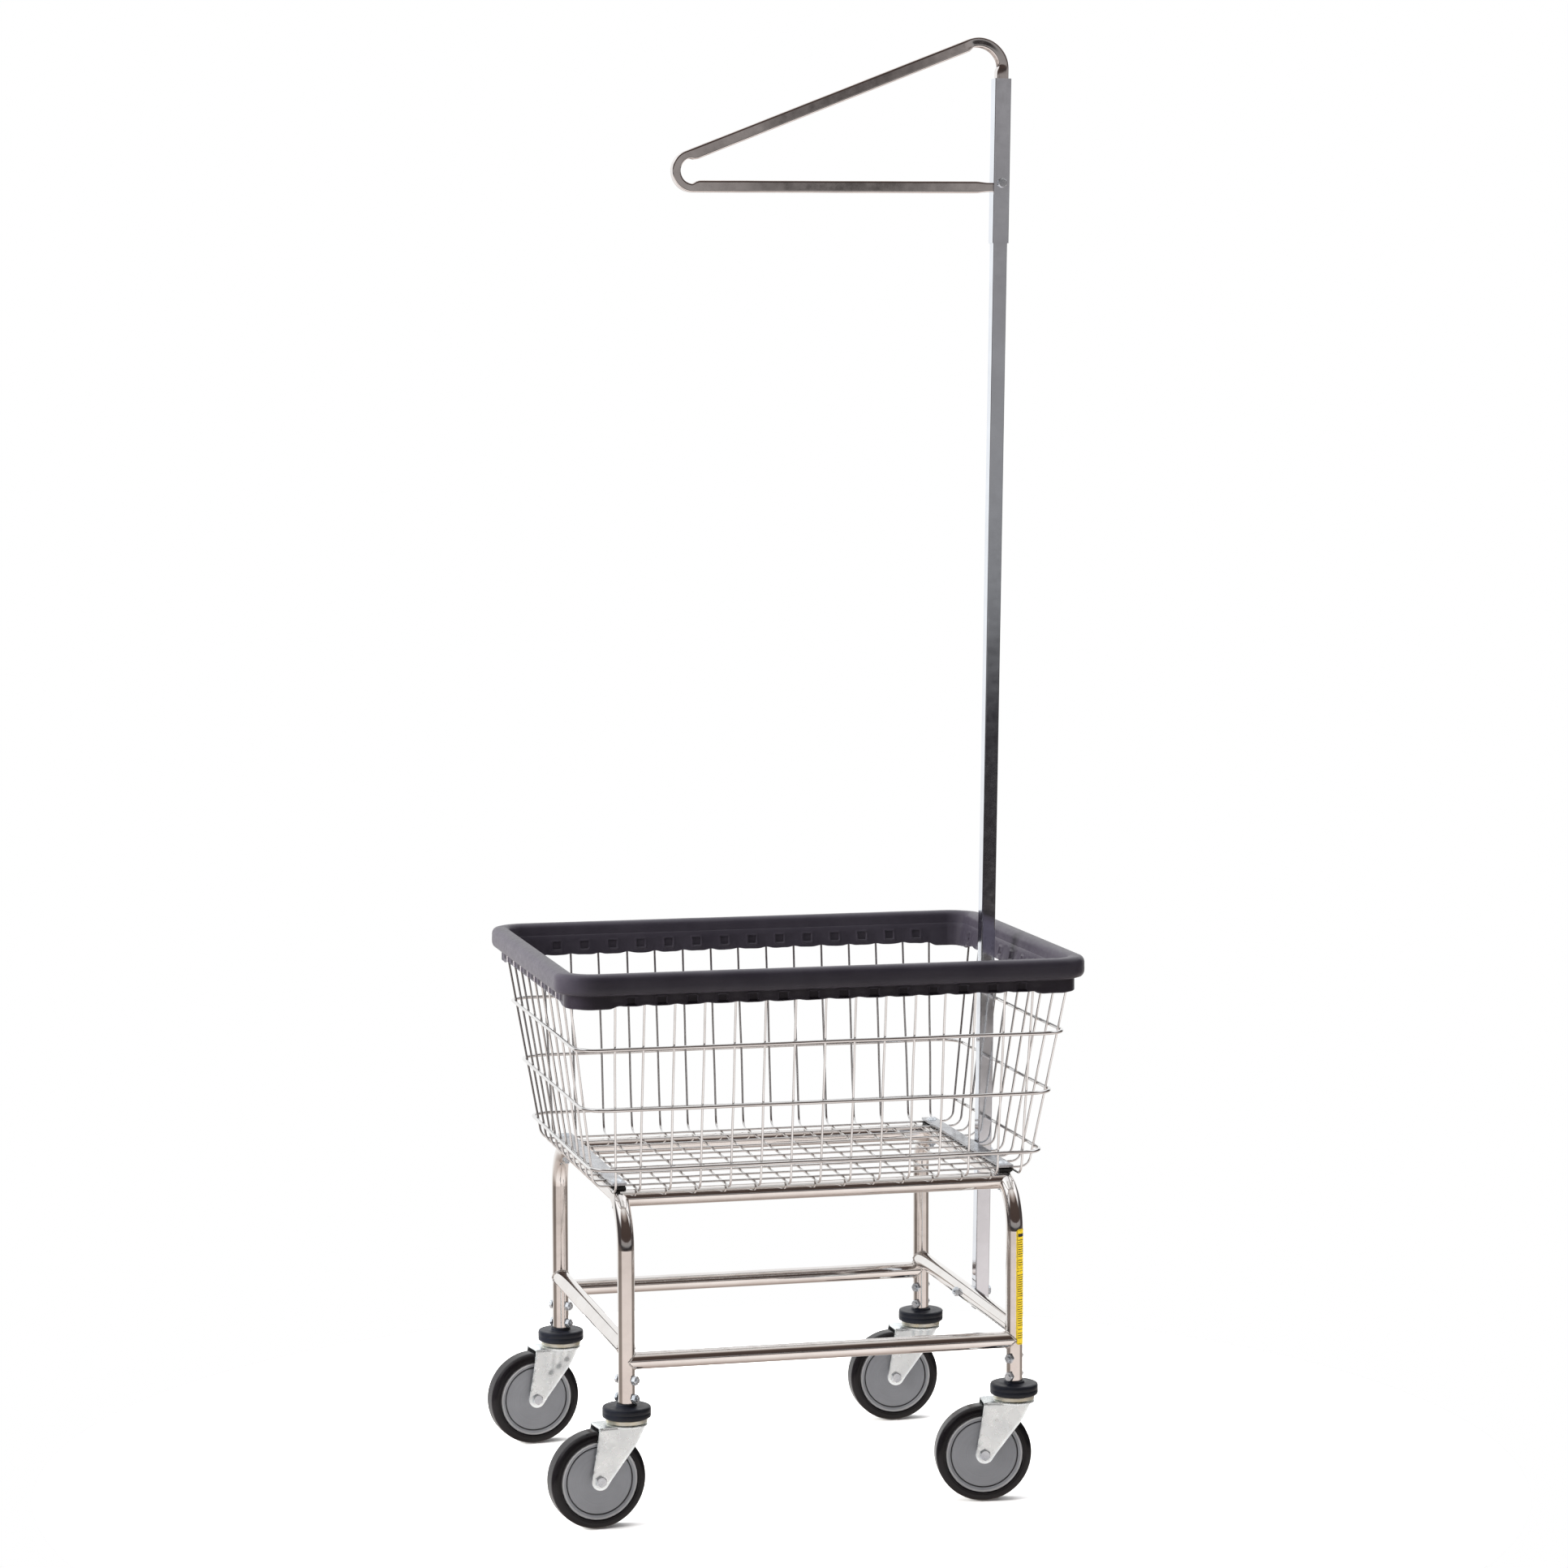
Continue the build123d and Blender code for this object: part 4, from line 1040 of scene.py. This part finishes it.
for code, c in CORNERS.items():
    fwd = -c["back"]
    left = Z.cross(fwd)
    base = Matrix(((fwd.x, left.x, 0, c["stem"].x), (fwd.y, left.y, 0, c["stem"].y),
                   (0, 0, 1, 0), (0, 0, 0, 1)))
    relief = flat_relief if code in ("fl", "fr") else ribbed_relief
    fb = Builder()
    for side in (-1, 1):
        v, f = fork_plate(side, relief)
        fb.add([base @ Vector(p) for p in v], f)
    # crown plate: a disc round the stem that runs out square over the wheel, with folded edges
    ring_pts = []
    R0 = 27.2
    y_edge = 19.55
    a0 = math.asin(y_edge / R0)
    for q in range(41):
        a = -math.pi + a0 + (2 * math.pi - 2 * a0) * q / 40
        ring_pts.append((R0 * math.cos(a), R0 * math.sin(a)))
    ring_pts += [(-28.0, y_edge), (-38.0, y_edge), (-42.2, y_edge - 1.2), (-42.5, y_edge - 4.0),
                 (-42.5, -y_edge + 4.0), (-42.2, -y_edge + 1.2), (-38.0, -y_edge), (-28.0, -y_edge)]
    m = len(ring_pts)
    vs, fs = [], []
    hole = [(5.06 * math.cos(2 * math.pi * q / 32), 5.06 * math.sin(2 * math.pi * q / 32)) for q in range(32)]
    # three outer rings make the edge round: top inner, edge, bottom inner
    for z, ins in ((133.0, 0.9), (132.7, 0.25), (131.6, 0.0), (130.4, 0.25), (130.02, 0.9)):
        for x, y in ring_pts:
            l = math.hypot(x, y)
            vs.append((x - x / l * ins, y - y / l * ins, z))
    for r in range(4):
        for j in range(m):
            j2 = (j + 1) % m
            fs.append((r * m + j, r * m + j2, (r + 1) * m + j2, (r + 1) * m + j))
    fb.add([base @ Vector(p) for p in vs] +
           [base @ Vector((x, y, 133.0)) for x, y in hole] + [base @ Vector((x, y, 130.02)) for x, y in hole], fs)
    off = len(fb.v) - len(hole) * 2 - len(vs)
    ht, hb_ = off + len(vs), off + len(vs) + len(hole)
    H = len(hole)
    for j in range(H):
        j2 = (j + 1) % H
        fb.f.append((ht + j, ht + j2, hb_ + j2, hb_ + j))
        fb.m.append(0)

    def annulus(outer0, inner0, flip):
        # joins the outer ring to the hole by walking round by angle
        oa = [math.atan2(ring_pts[j][1], ring_pts[j][0]) for j in range(m)]
        ia = [math.atan2(hole[j][1], hole[j][0]) for j in range(H)]
        order_o = sorted(range(m), key=lambda j: oa[j])
        order_i = sorted(range(H), key=lambda j: ia[j])
        i = j = 0
        while i < m or j < H:
            ao = oa[order_o[i % m]] + (2 * math.pi if i >= m else 0)
            ai = ia[order_i[j % H]] + (2 * math.pi if j >= H else 0)
            no = oa[order_o[(i + 1) % m]] + (2 * math.pi if i + 1 >= m else 0)
            ni = ia[order_i[(j + 1) % H]] + (2 * math.pi if j + 1 >= H else 0)
            o0, i0 = outer0 + order_o[i % m], inner0 + order_i[j % H]
            if i < m and (no <= ni or j >= H):
                tri = (o0, outer0 + order_o[(i + 1) % m], i0)
                i += 1
            else:
                tri = (o0, inner0 + order_i[(j + 1) % H], i0)
                j += 1
            fb.f.append(tri[::-1] if flip else tri)
            fb.m.append(0)

    annulus(off, ht, False)
    annulus(off + 4 * m, hb_, True)
    fo = fb.object("fork_fine_" + code, zinc_plate, "caster_fork_" + code, "zinc_fork", sharp=38)
    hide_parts("fork_" + code)


# ------------------------------------------------------- weld beads on the frame
def bead_ring(centre, axis, r, seed, thick=1.7, spread=1.0, a0=0.0, a1=360.0, lift=None):
    """A lumpy bead round a tube's end where it meets another tube."""
    axis = Vector(axis).normalized()
    h = Vector((0, 0, 1)) if abs(axis.z) < 0.9 else Vector((1, 0, 0))
    a = (h - axis * h.dot(axis)).normalized()
    b = axis.cross(a)
    n = 72
    pts = []
    rad = []
    for i in range(n):
        th = math.radians(a0 + (a1 - a0) * i / n)
        d = a * math.cos(th) + b * math.sin(th)
        off = lift(d) if lift else 0.0
        q = centre + d * r + axis * off
        pts.append(q)
        rad.append(thick * (1 + 0.22 * math.sin(i * 1.9 + seed) + 0.18 * noise.noise(Vector((i * 0.4, seed, 0)))))
    base = circle(1.0, 10)

    def sec(i, m, s):
        return [(x * rad[i], y * rad[i]) for x, y in base]
    return sweep(pts, sec, closed=True)


beads = Builder()


def saddle(tube_axis_dir, rail_dir, R):
    """How far a point on the rail's skin lies from the other tube's axis, along the rail."""
    def f(d):
        side = d - Vector(rail_dir) * d.dot(Vector(rail_dir))
        across = side - Vector(tube_axis_dir) * side.dot(Vector(tube_axis_dir))
        e = min(across.length * TUBE_R, R - 0.05)
        return math.sqrt(R * R - e * e)
    return f


seed = 0
for sx in (-1, 1):
    for sy in (-1, 1):
        corner = Vector((sx * LEG_X, sy * LEG_Y, 0))
        seed += 1
        d = Vector((-sx, 0, 0))
        beads.add(*bead_ring(corner + Z * LONG_Z, d, TUBE_R + 0.1, seed, 1.15, lift=saddle((0, 0, 1), d, TUBE_R))[:2])
        d = Vector((0, -sy, 0))
        beads.add(*bead_ring(corner + Z * SIDE_Z, d, TUBE_R + 0.1, seed + 9, 1.15, lift=saddle((0, 0, 1), d, TUBE_R))[:2])
bead_ob = beads.object("frame_weld_beads", weld, "frame", "frame_chrome")


# ---------------------------------------------------------------- leg label
def label_material():
    """Yellow vinyl with a printed black border and bars, from the size kept in the UVs."""
    m = Mat("label_yellow")
    m.set(Metallic=0.0)
    m.b.inputs["Specular IOR Level"].default_value = 0.45
    uvn = m.node("ShaderNodeSeparateXYZ")
    m.link(m.coord.outputs["UV"], uvn.inputs[0])
    u, v = uvn.outputs[0], uvn.outputs[1]

    def box(u0, u1, v0, v1):
        def between(x, a, b):
            p = m.node("ShaderNodeMath", operation="GREATER_THAN")
            m.link(x, p.inputs[0])
            p.inputs[1].default_value = a
            q = m.node("ShaderNodeMath", operation="LESS_THAN")
            m.link(x, q.inputs[0])
            q.inputs[1].default_value = b
            r = m.node("ShaderNodeMath", operation="MULTIPLY")
            m.link(p.outputs[0], r.inputs[0])
            m.link(q.outputs[0], r.inputs[1])
            return r.outputs[0]
        r = m.node("ShaderNodeMath", operation="MULTIPLY")
        m.link(between(u, u0, u1), r.inputs[0])
        m.link(between(v, v0, v1), r.inputs[1])
        return r.outputs[0]

    def join(a, b, op="MAXIMUM"):
        n = m.node("ShaderNodeMath", operation=op)
        m.link(a, n.inputs[0])
        m.link(b, n.inputs[1])
        return n.outputs[0]

    W, H = LABEL_W, LABEL_H
    ink = None
    # border line of the upper panel and of the lower panel
    for v0, v1 in ((H * 0.66, H - 0.9), (0.9, H * 0.64)):
        line = join(box(0.9, W - 0.9, v0, v1), box(1.4, W - 1.4, v0 + 0.5, v1 - 0.5), "SUBTRACT")
        ink = line if ink is None else join(ink, line)
    bars = random.Random(11)
    vv = H - 6.0
    ink = join(ink, box(2.4, W - 2.4, vv - 4.4, vv))
    vv -= 8.0
    while vv > 8.0:
        if abs(vv - H * 0.65) > 4.5:
            u1 = W - 2.4 - bars.uniform(0.0, 4.6)
            ink = join(ink, box(2.4, u1, vv - 1.0, vv))
        vv -= 3.1 if bars.random() > 0.2 else 5.2
    yellow = m.ramp(m.noise(60.0, 4.0, 0.6), [(0.3, (0.74, 0.52, 0.012)), (0.7, (0.83, 0.60, 0.020))])
    m.color(m.mix(ink, yellow, (0.02, 0.02, 0.02)))
    m.rough(m.remap(m.noise(200.0, 4.0, 0.6), 0.24, 0.36))
    m.bump(m.noise(500.0, 3.0, 0.5), 0.15, 0.0001)
    return m.m


if "leg_label" in nodes:
    lo, hi = box_mm("leg_label")
    LABEL_H = hi.z - lo.z
    LABEL_R = TUBE_R + 0.03
    A0, A1 = -95.0, -8.0
    LABEL_W = LABEL_R * math.radians(A1 - A0)
    RC = 3.0
    vs, fs, uvs = [], [], []
    cols, rows = 28, 60
    for layer, rad in enumerate((LABEL_R, LABEL_R + 0.14)):
        for i in range(rows + 1):
            t = i / rows
            v = LABEL_H * (0.5 - 0.5 * math.cos(math.pi * t)) if False else LABEL_H * t
            e = min(v, LABEL_H - v)
            cut = RC - math.sqrt(max(0.0, RC * RC - max(0.0, RC - e) ** 2))
            for j in range(cols + 1):
                u = cut + (LABEL_W - 2 * cut) * j / cols
                a = math.radians(A0) + u / LABEL_R
                vs.append(Vector((LEG_X + rad * math.cos(a), -LEG_Y + rad * math.sin(a), lo.z + 0.1 + (LABEL_H - 0.2) * t)))
                uvs.append((u, v))
    C1, L1 = cols + 1, (rows + 1) * (cols + 1)
    for i in range(rows):
        for j in range(cols):
            a = i * C1 + j
            fs.append((a, a + C1, a + C1 + 1, a + 1))
            fs.append((L1 + a, L1 + a + 1, L1 + a + C1 + 1, L1 + a + C1))
    for i in range(rows):
        for j in (0, cols):
            a, b = i * C1 + j, (i + 1) * C1 + j
            fs.append((a, L1 + a, L1 + b, b))
    for j in range(cols):
        for i in (0, rows):
            a, b = i * C1 + j, i * C1 + j + 1
            fs.append((a, b, L1 + b, L1 + a))
    lab = make_object("leg_label_fine", vs, fs, label_material(), "frame", "label_yellow", uvs=uvs, sharp=50)
    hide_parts("leg_label")


# --------------------------------------------- better materials on the kept nodes
def paint(names, mat, smooth_angle=30):
    for n in names:
        o = nodes[n]
        for i in range(len(o.data.materials)):
            o.data.materials[i] = mat
        if not o.data.materials:
            o.data.materials.append(mat)


paint(["left_end_frame", "right_end_frame", "front_bottom_rail", "back_bottom_rail", "left_side_rail",
       "right_side_rail", "front_top_rail", "back_top_rail"], chrome_frame)
paint(["rack_pole", "rack_sleeve"], chrome_square)
paint(["clamp_bars"], zinc_bar)
paint(["leg_bolts", "rack_bolts", "clamp_bolts", "hex_nuts", "pole_spacer"], zinc_bolt)
paint(["clamp_pads"], pad_mat)
paint(["pole_foot_plug"], plug_mat)
for code in CORNERS:
    paint(["caster_stem_" + code], zinc_race)
    paint(["axle_bolt_" + code, "axle_nut_" + code, "axle_bush_" + code, "swivel_balls_" + code], zinc_bolt)

# --------------------------------------------------------- floor, light, camera
scene = bpy.context.scene
floor_mat = Mat("studio_floor")
floor_mat.set(Metallic=0.0)
floor_mat.b.inputs["Specular IOR Level"].default_value = 0.10
floor_mat.color(floor_mat.ramp(floor_mat.noise(1.5, 3.0, 0.5), [(0.3, (0.93, 0.93, 0.93)), (0.7, (0.95, 0.95, 0.95))]))
floor_mat.rough(floor_mat.remap(floor_mat.noise(4.0, 3.0, 0.5), 0.75, 0.9))
FLOOR_R = 1.0
verts, faces = [(0.0, 0.0, 0.0)], []
for q in range(96):
    a = 2 * math.pi * q / 96
    verts.append((FLOOR_R * math.cos(a), FLOOR_R * math.sin(a), 0.0))
for q in range(96):
    faces.append((0, 1 + q, 1 + (q + 1) % 96))
me = bpy.data.meshes.new("studio_floor")
me.from_pydata(verts, [], faces)
me.materials.append(floor_mat.m)
floor = bpy.data.objects.new("studio_floor", me)
scene.collection.objects.link(floor)
floor.visible_glossy = False

# The camera sees a plain white studio. What the chrome sees is the room: a white
# backdrop behind, a pale floor, and a darker room in front and to the sides.
world = bpy.data.worlds.new("studio")
scene.world = world
world.use_nodes = True
wt = world.node_tree
bg = wt.nodes["Background"]
bg.inputs["Strength"].default_value = 1.0


def wmath(op, a, b=None, c=None, clamp=False):
    n = wt.nodes.new("ShaderNodeMath")
    n.operation = op
    n.use_clamp = clamp
    for i, v in enumerate((a, b, c)):
        if v is None:
            continue
        if isinstance(v, (int, float)):
            n.inputs[i].default_value = v
        else:
            wt.links.new(v, n.inputs[i])
    return n.outputs[0]


def wramp(value, lo, hi, stops):
    """Colours at the given values between lo and hi."""
    n = wt.nodes.new("ShaderNodeValToRGB")
    e = n.color_ramp.elements
    while len(e) < len(stops):
        e.new(0.5)
    for i, (p, c) in enumerate(stops):
        e[i].position = (p - lo) / (hi - lo)
        e[i].color = (*c, 1) if isinstance(c, tuple) else (c, c, c, 1)
    wt.links.new(wmath("MULTIPLY_ADD", value, 1.0 / (hi - lo), -lo / (hi - lo)), n.inputs["Fac"])
    return n.outputs["Color"]


def wmix(fac, a, b, kind="MIX"):
    n = wt.nodes.new("ShaderNodeMix")
    n.data_type = "RGBA"
    n.blend_type = kind
    if isinstance(fac, (int, float)):
        n.inputs[0].default_value = fac
    else:
        wt.links.new(fac, n.inputs[0])
    for sock, v in ((n.inputs[6], a), (n.inputs[7], b)):
        if isinstance(v, tuple):
            sock.default_value = (*v, 1)
        else:
            wt.links.new(v, sock)
    return n.outputs[2]


tc = wt.nodes.new("ShaderNodeTexCoord")
sp = wt.nodes.new("ShaderNodeSeparateXYZ")
wt.links.new(tc.outputs["Generated"], sp.inputs["Vector"])
elev = wmath("MULTIPLY", wmath("ARCSINE", sp.outputs["Z"]), 57.29578)
azim = wmath("MULTIPLY", wmath("ARCTAN2", sp.outputs["X"], wmath("MULTIPLY", sp.outputs["Y"], -1.0)), 57.29578)
absaz = wmath("ABSOLUTE", azim)
front = wramp(elev, -90.0, 90.0, [
    (-90.0, (0.46, 0.39, 0.36)), (-66.0, (0.72, 0.63, 0.59)), (-40.0, (0.98, 0.91, 0.88)), (-22.0, (1.05, 0.99, 0.97)),
    (-14.0, (0.90, 0.80, 0.76)), (-10.4, (0.76, 0.69, 0.66)), (-8.8, (0.27, 0.24, 0.22)), (-7.5, (0.035, 0.03, 0.03)),
    (-4.0, (0.03, 0.027, 0.03)), (-2.6, (0.29, 0.285, 0.285)), (5.2, (0.34, 0.315, 0.31)), (6.2, (0.075, 0.055, 0.05)),
    (14.0, (0.070, 0.050, 0.044)), (46.0, (0.085, 0.062, 0.054)), (58.0, (0.42, 0.36, 0.33)), (70.0, (0.85, 0.83, 0.82)),
    (90.0, (0.95, 0.95, 0.95))])
side = wramp(elev, -90.0, 90.0, [
    (-90.0, (0.44, 0.37, 0.34)), (-60.0, (0.60, 0.52, 0.48)), (-24.0, (0.74, 0.67, 0.64)), (-14.0, (0.34, 0.29, 0.26)),
    (-6.0, (0.06, 0.05, 0.05)), (22.0, (0.08, 0.07, 0.07)), (34.0, (1.25, 1.25, 1.28)), (60.0, (1.3, 1.3, 1.32)),
    (74.0, (0.6, 0.6, 0.6)), (90.0, (0.95, 0.95, 0.95))])
back = wramp(elev, -90.0, 90.0, [
    (-90.0, (0.44, 0.37, 0.34)), (-64.0, (0.36, 0.30, 0.27)), (-34.0, (0.62, 0.56, 0.53)), (-16.0, (0.95, 0.93, 0.92)),
    (0.0, (1.0, 1.0, 1.0)), (70.0, (1.0, 1.0, 1.02)), (90.0, (0.95, 0.95, 0.95))])
to_side = wramp(absaz, 0.0, 180.0, [(0.0, 0.0), (62.0, 0.0), (78.0, 1.0), (180.0, 1.0)])
to_back = wramp(absaz, 0.0, 180.0, [(0.0, 0.0), (126.0, 0.0), (138.0, 1.0), (180.0, 1.0)])
room = wmix(to_back, wmix(to_side, front, side), back)
# a dark upright in the room, which the hanging rail picks up as a narrow patch
upright = wmath("MULTIPLY", wramp(azim, 0.0, 40.0, [(0.0, 0.0), (13.2, 0.0), (13.9, 1.0), (15.4, 1.0), (16.1, 0.0), (40.0, 0.0)]),
                wramp(elev, -10.0, 20.0, [(-10.0, 0.0), (0.6, 0.0), (2.2, 0.85), (8.0, 0.85), (20.0, 0.0)]))
room = wmix(upright, room, (0.04, 0.035, 0.035))
lp = wt.nodes.new("ShaderNodeLightPath")
wt.links.new(wmix(lp.outputs["Is Camera Ray"], room, (1.0, 1.0, 1.0)), bg.inputs["Color"])


def area(name, loc, target, size, size_y, power, color=(1, 1, 1), mirror=False):
    li = bpy.data.lights.new(name, "AREA")
    li.shape = "RECTANGLE"
    li.size, li.size_y = size, size_y
    li.energy = power
    li.color = color
    ob = bpy.data.objects.new(name, li)
    scene.collection.objects.link(ob)
    ob.location = loc
    ob.rotation_euler = (Vector(target) - Vector(loc)).to_track_quat("-Z", "Y").to_euler()
    ob.visible_glossy = mirror
    ob.visible_camera = False
    return ob


area("top_softbox", (0.0, 1.0, 4.4), (0, 0.2, 0.0), 5.0, 5.0, 340)
area("left_softbox", (-3.4, 0.3, 1.3), (0, 0, 0.6), 2.4, 2.2, 520, (1.0, 0.98, 0.95))
area("right_softbox", (3.4, -1.0, 1.8), (0, 0, 0.6), 2.0, 2.4, 45, (1.0, 0.99, 0.98))
area("front_fill", (-0.4, -3.6, 2.6), (0, 0, 0.5), 2.4, 1.6, 13, (0.93, 0.95, 1.0))

cam = bpy.data.cameras.new("camera")
cam.sensor_width = 36.0
cam.lens = 5125.2286 * 36.0 / 1932.0
cam.clip_end = 60.0
cam_ob = bpy.data.objects.new("camera", cam)
scene.collection.objects.link(cam_ob)
yaw, pitch, roll = -0.2401, 0.0922, -0.0016
f = Vector((-math.sin(yaw) * math.cos(pitch), math.cos(yaw) * math.cos(pitch), -math.sin(pitch)))
r = Vector((math.cos(yaw), math.sin(yaw), 0))
u = r.cross(f)
r2 = r * math.cos(roll) + u * math.sin(roll)
u2 = u * math.cos(roll) - r * math.sin(roll)
cam_ob.matrix_world = Matrix(((r2.x, u2.x, -f.x, -1.3114524), (r2.y, u2.y, -f.y, -5.3788825),
                              (r2.z, u2.z, -f.z, 1.4429825), (0, 0, 0, 1)))
scene.camera = cam_ob

scene.view_settings.view_transform = "Standard"
scene.view_settings.look = "None"
scene.view_settings.exposure = 0.0
scene.view_settings.gamma = 1.0
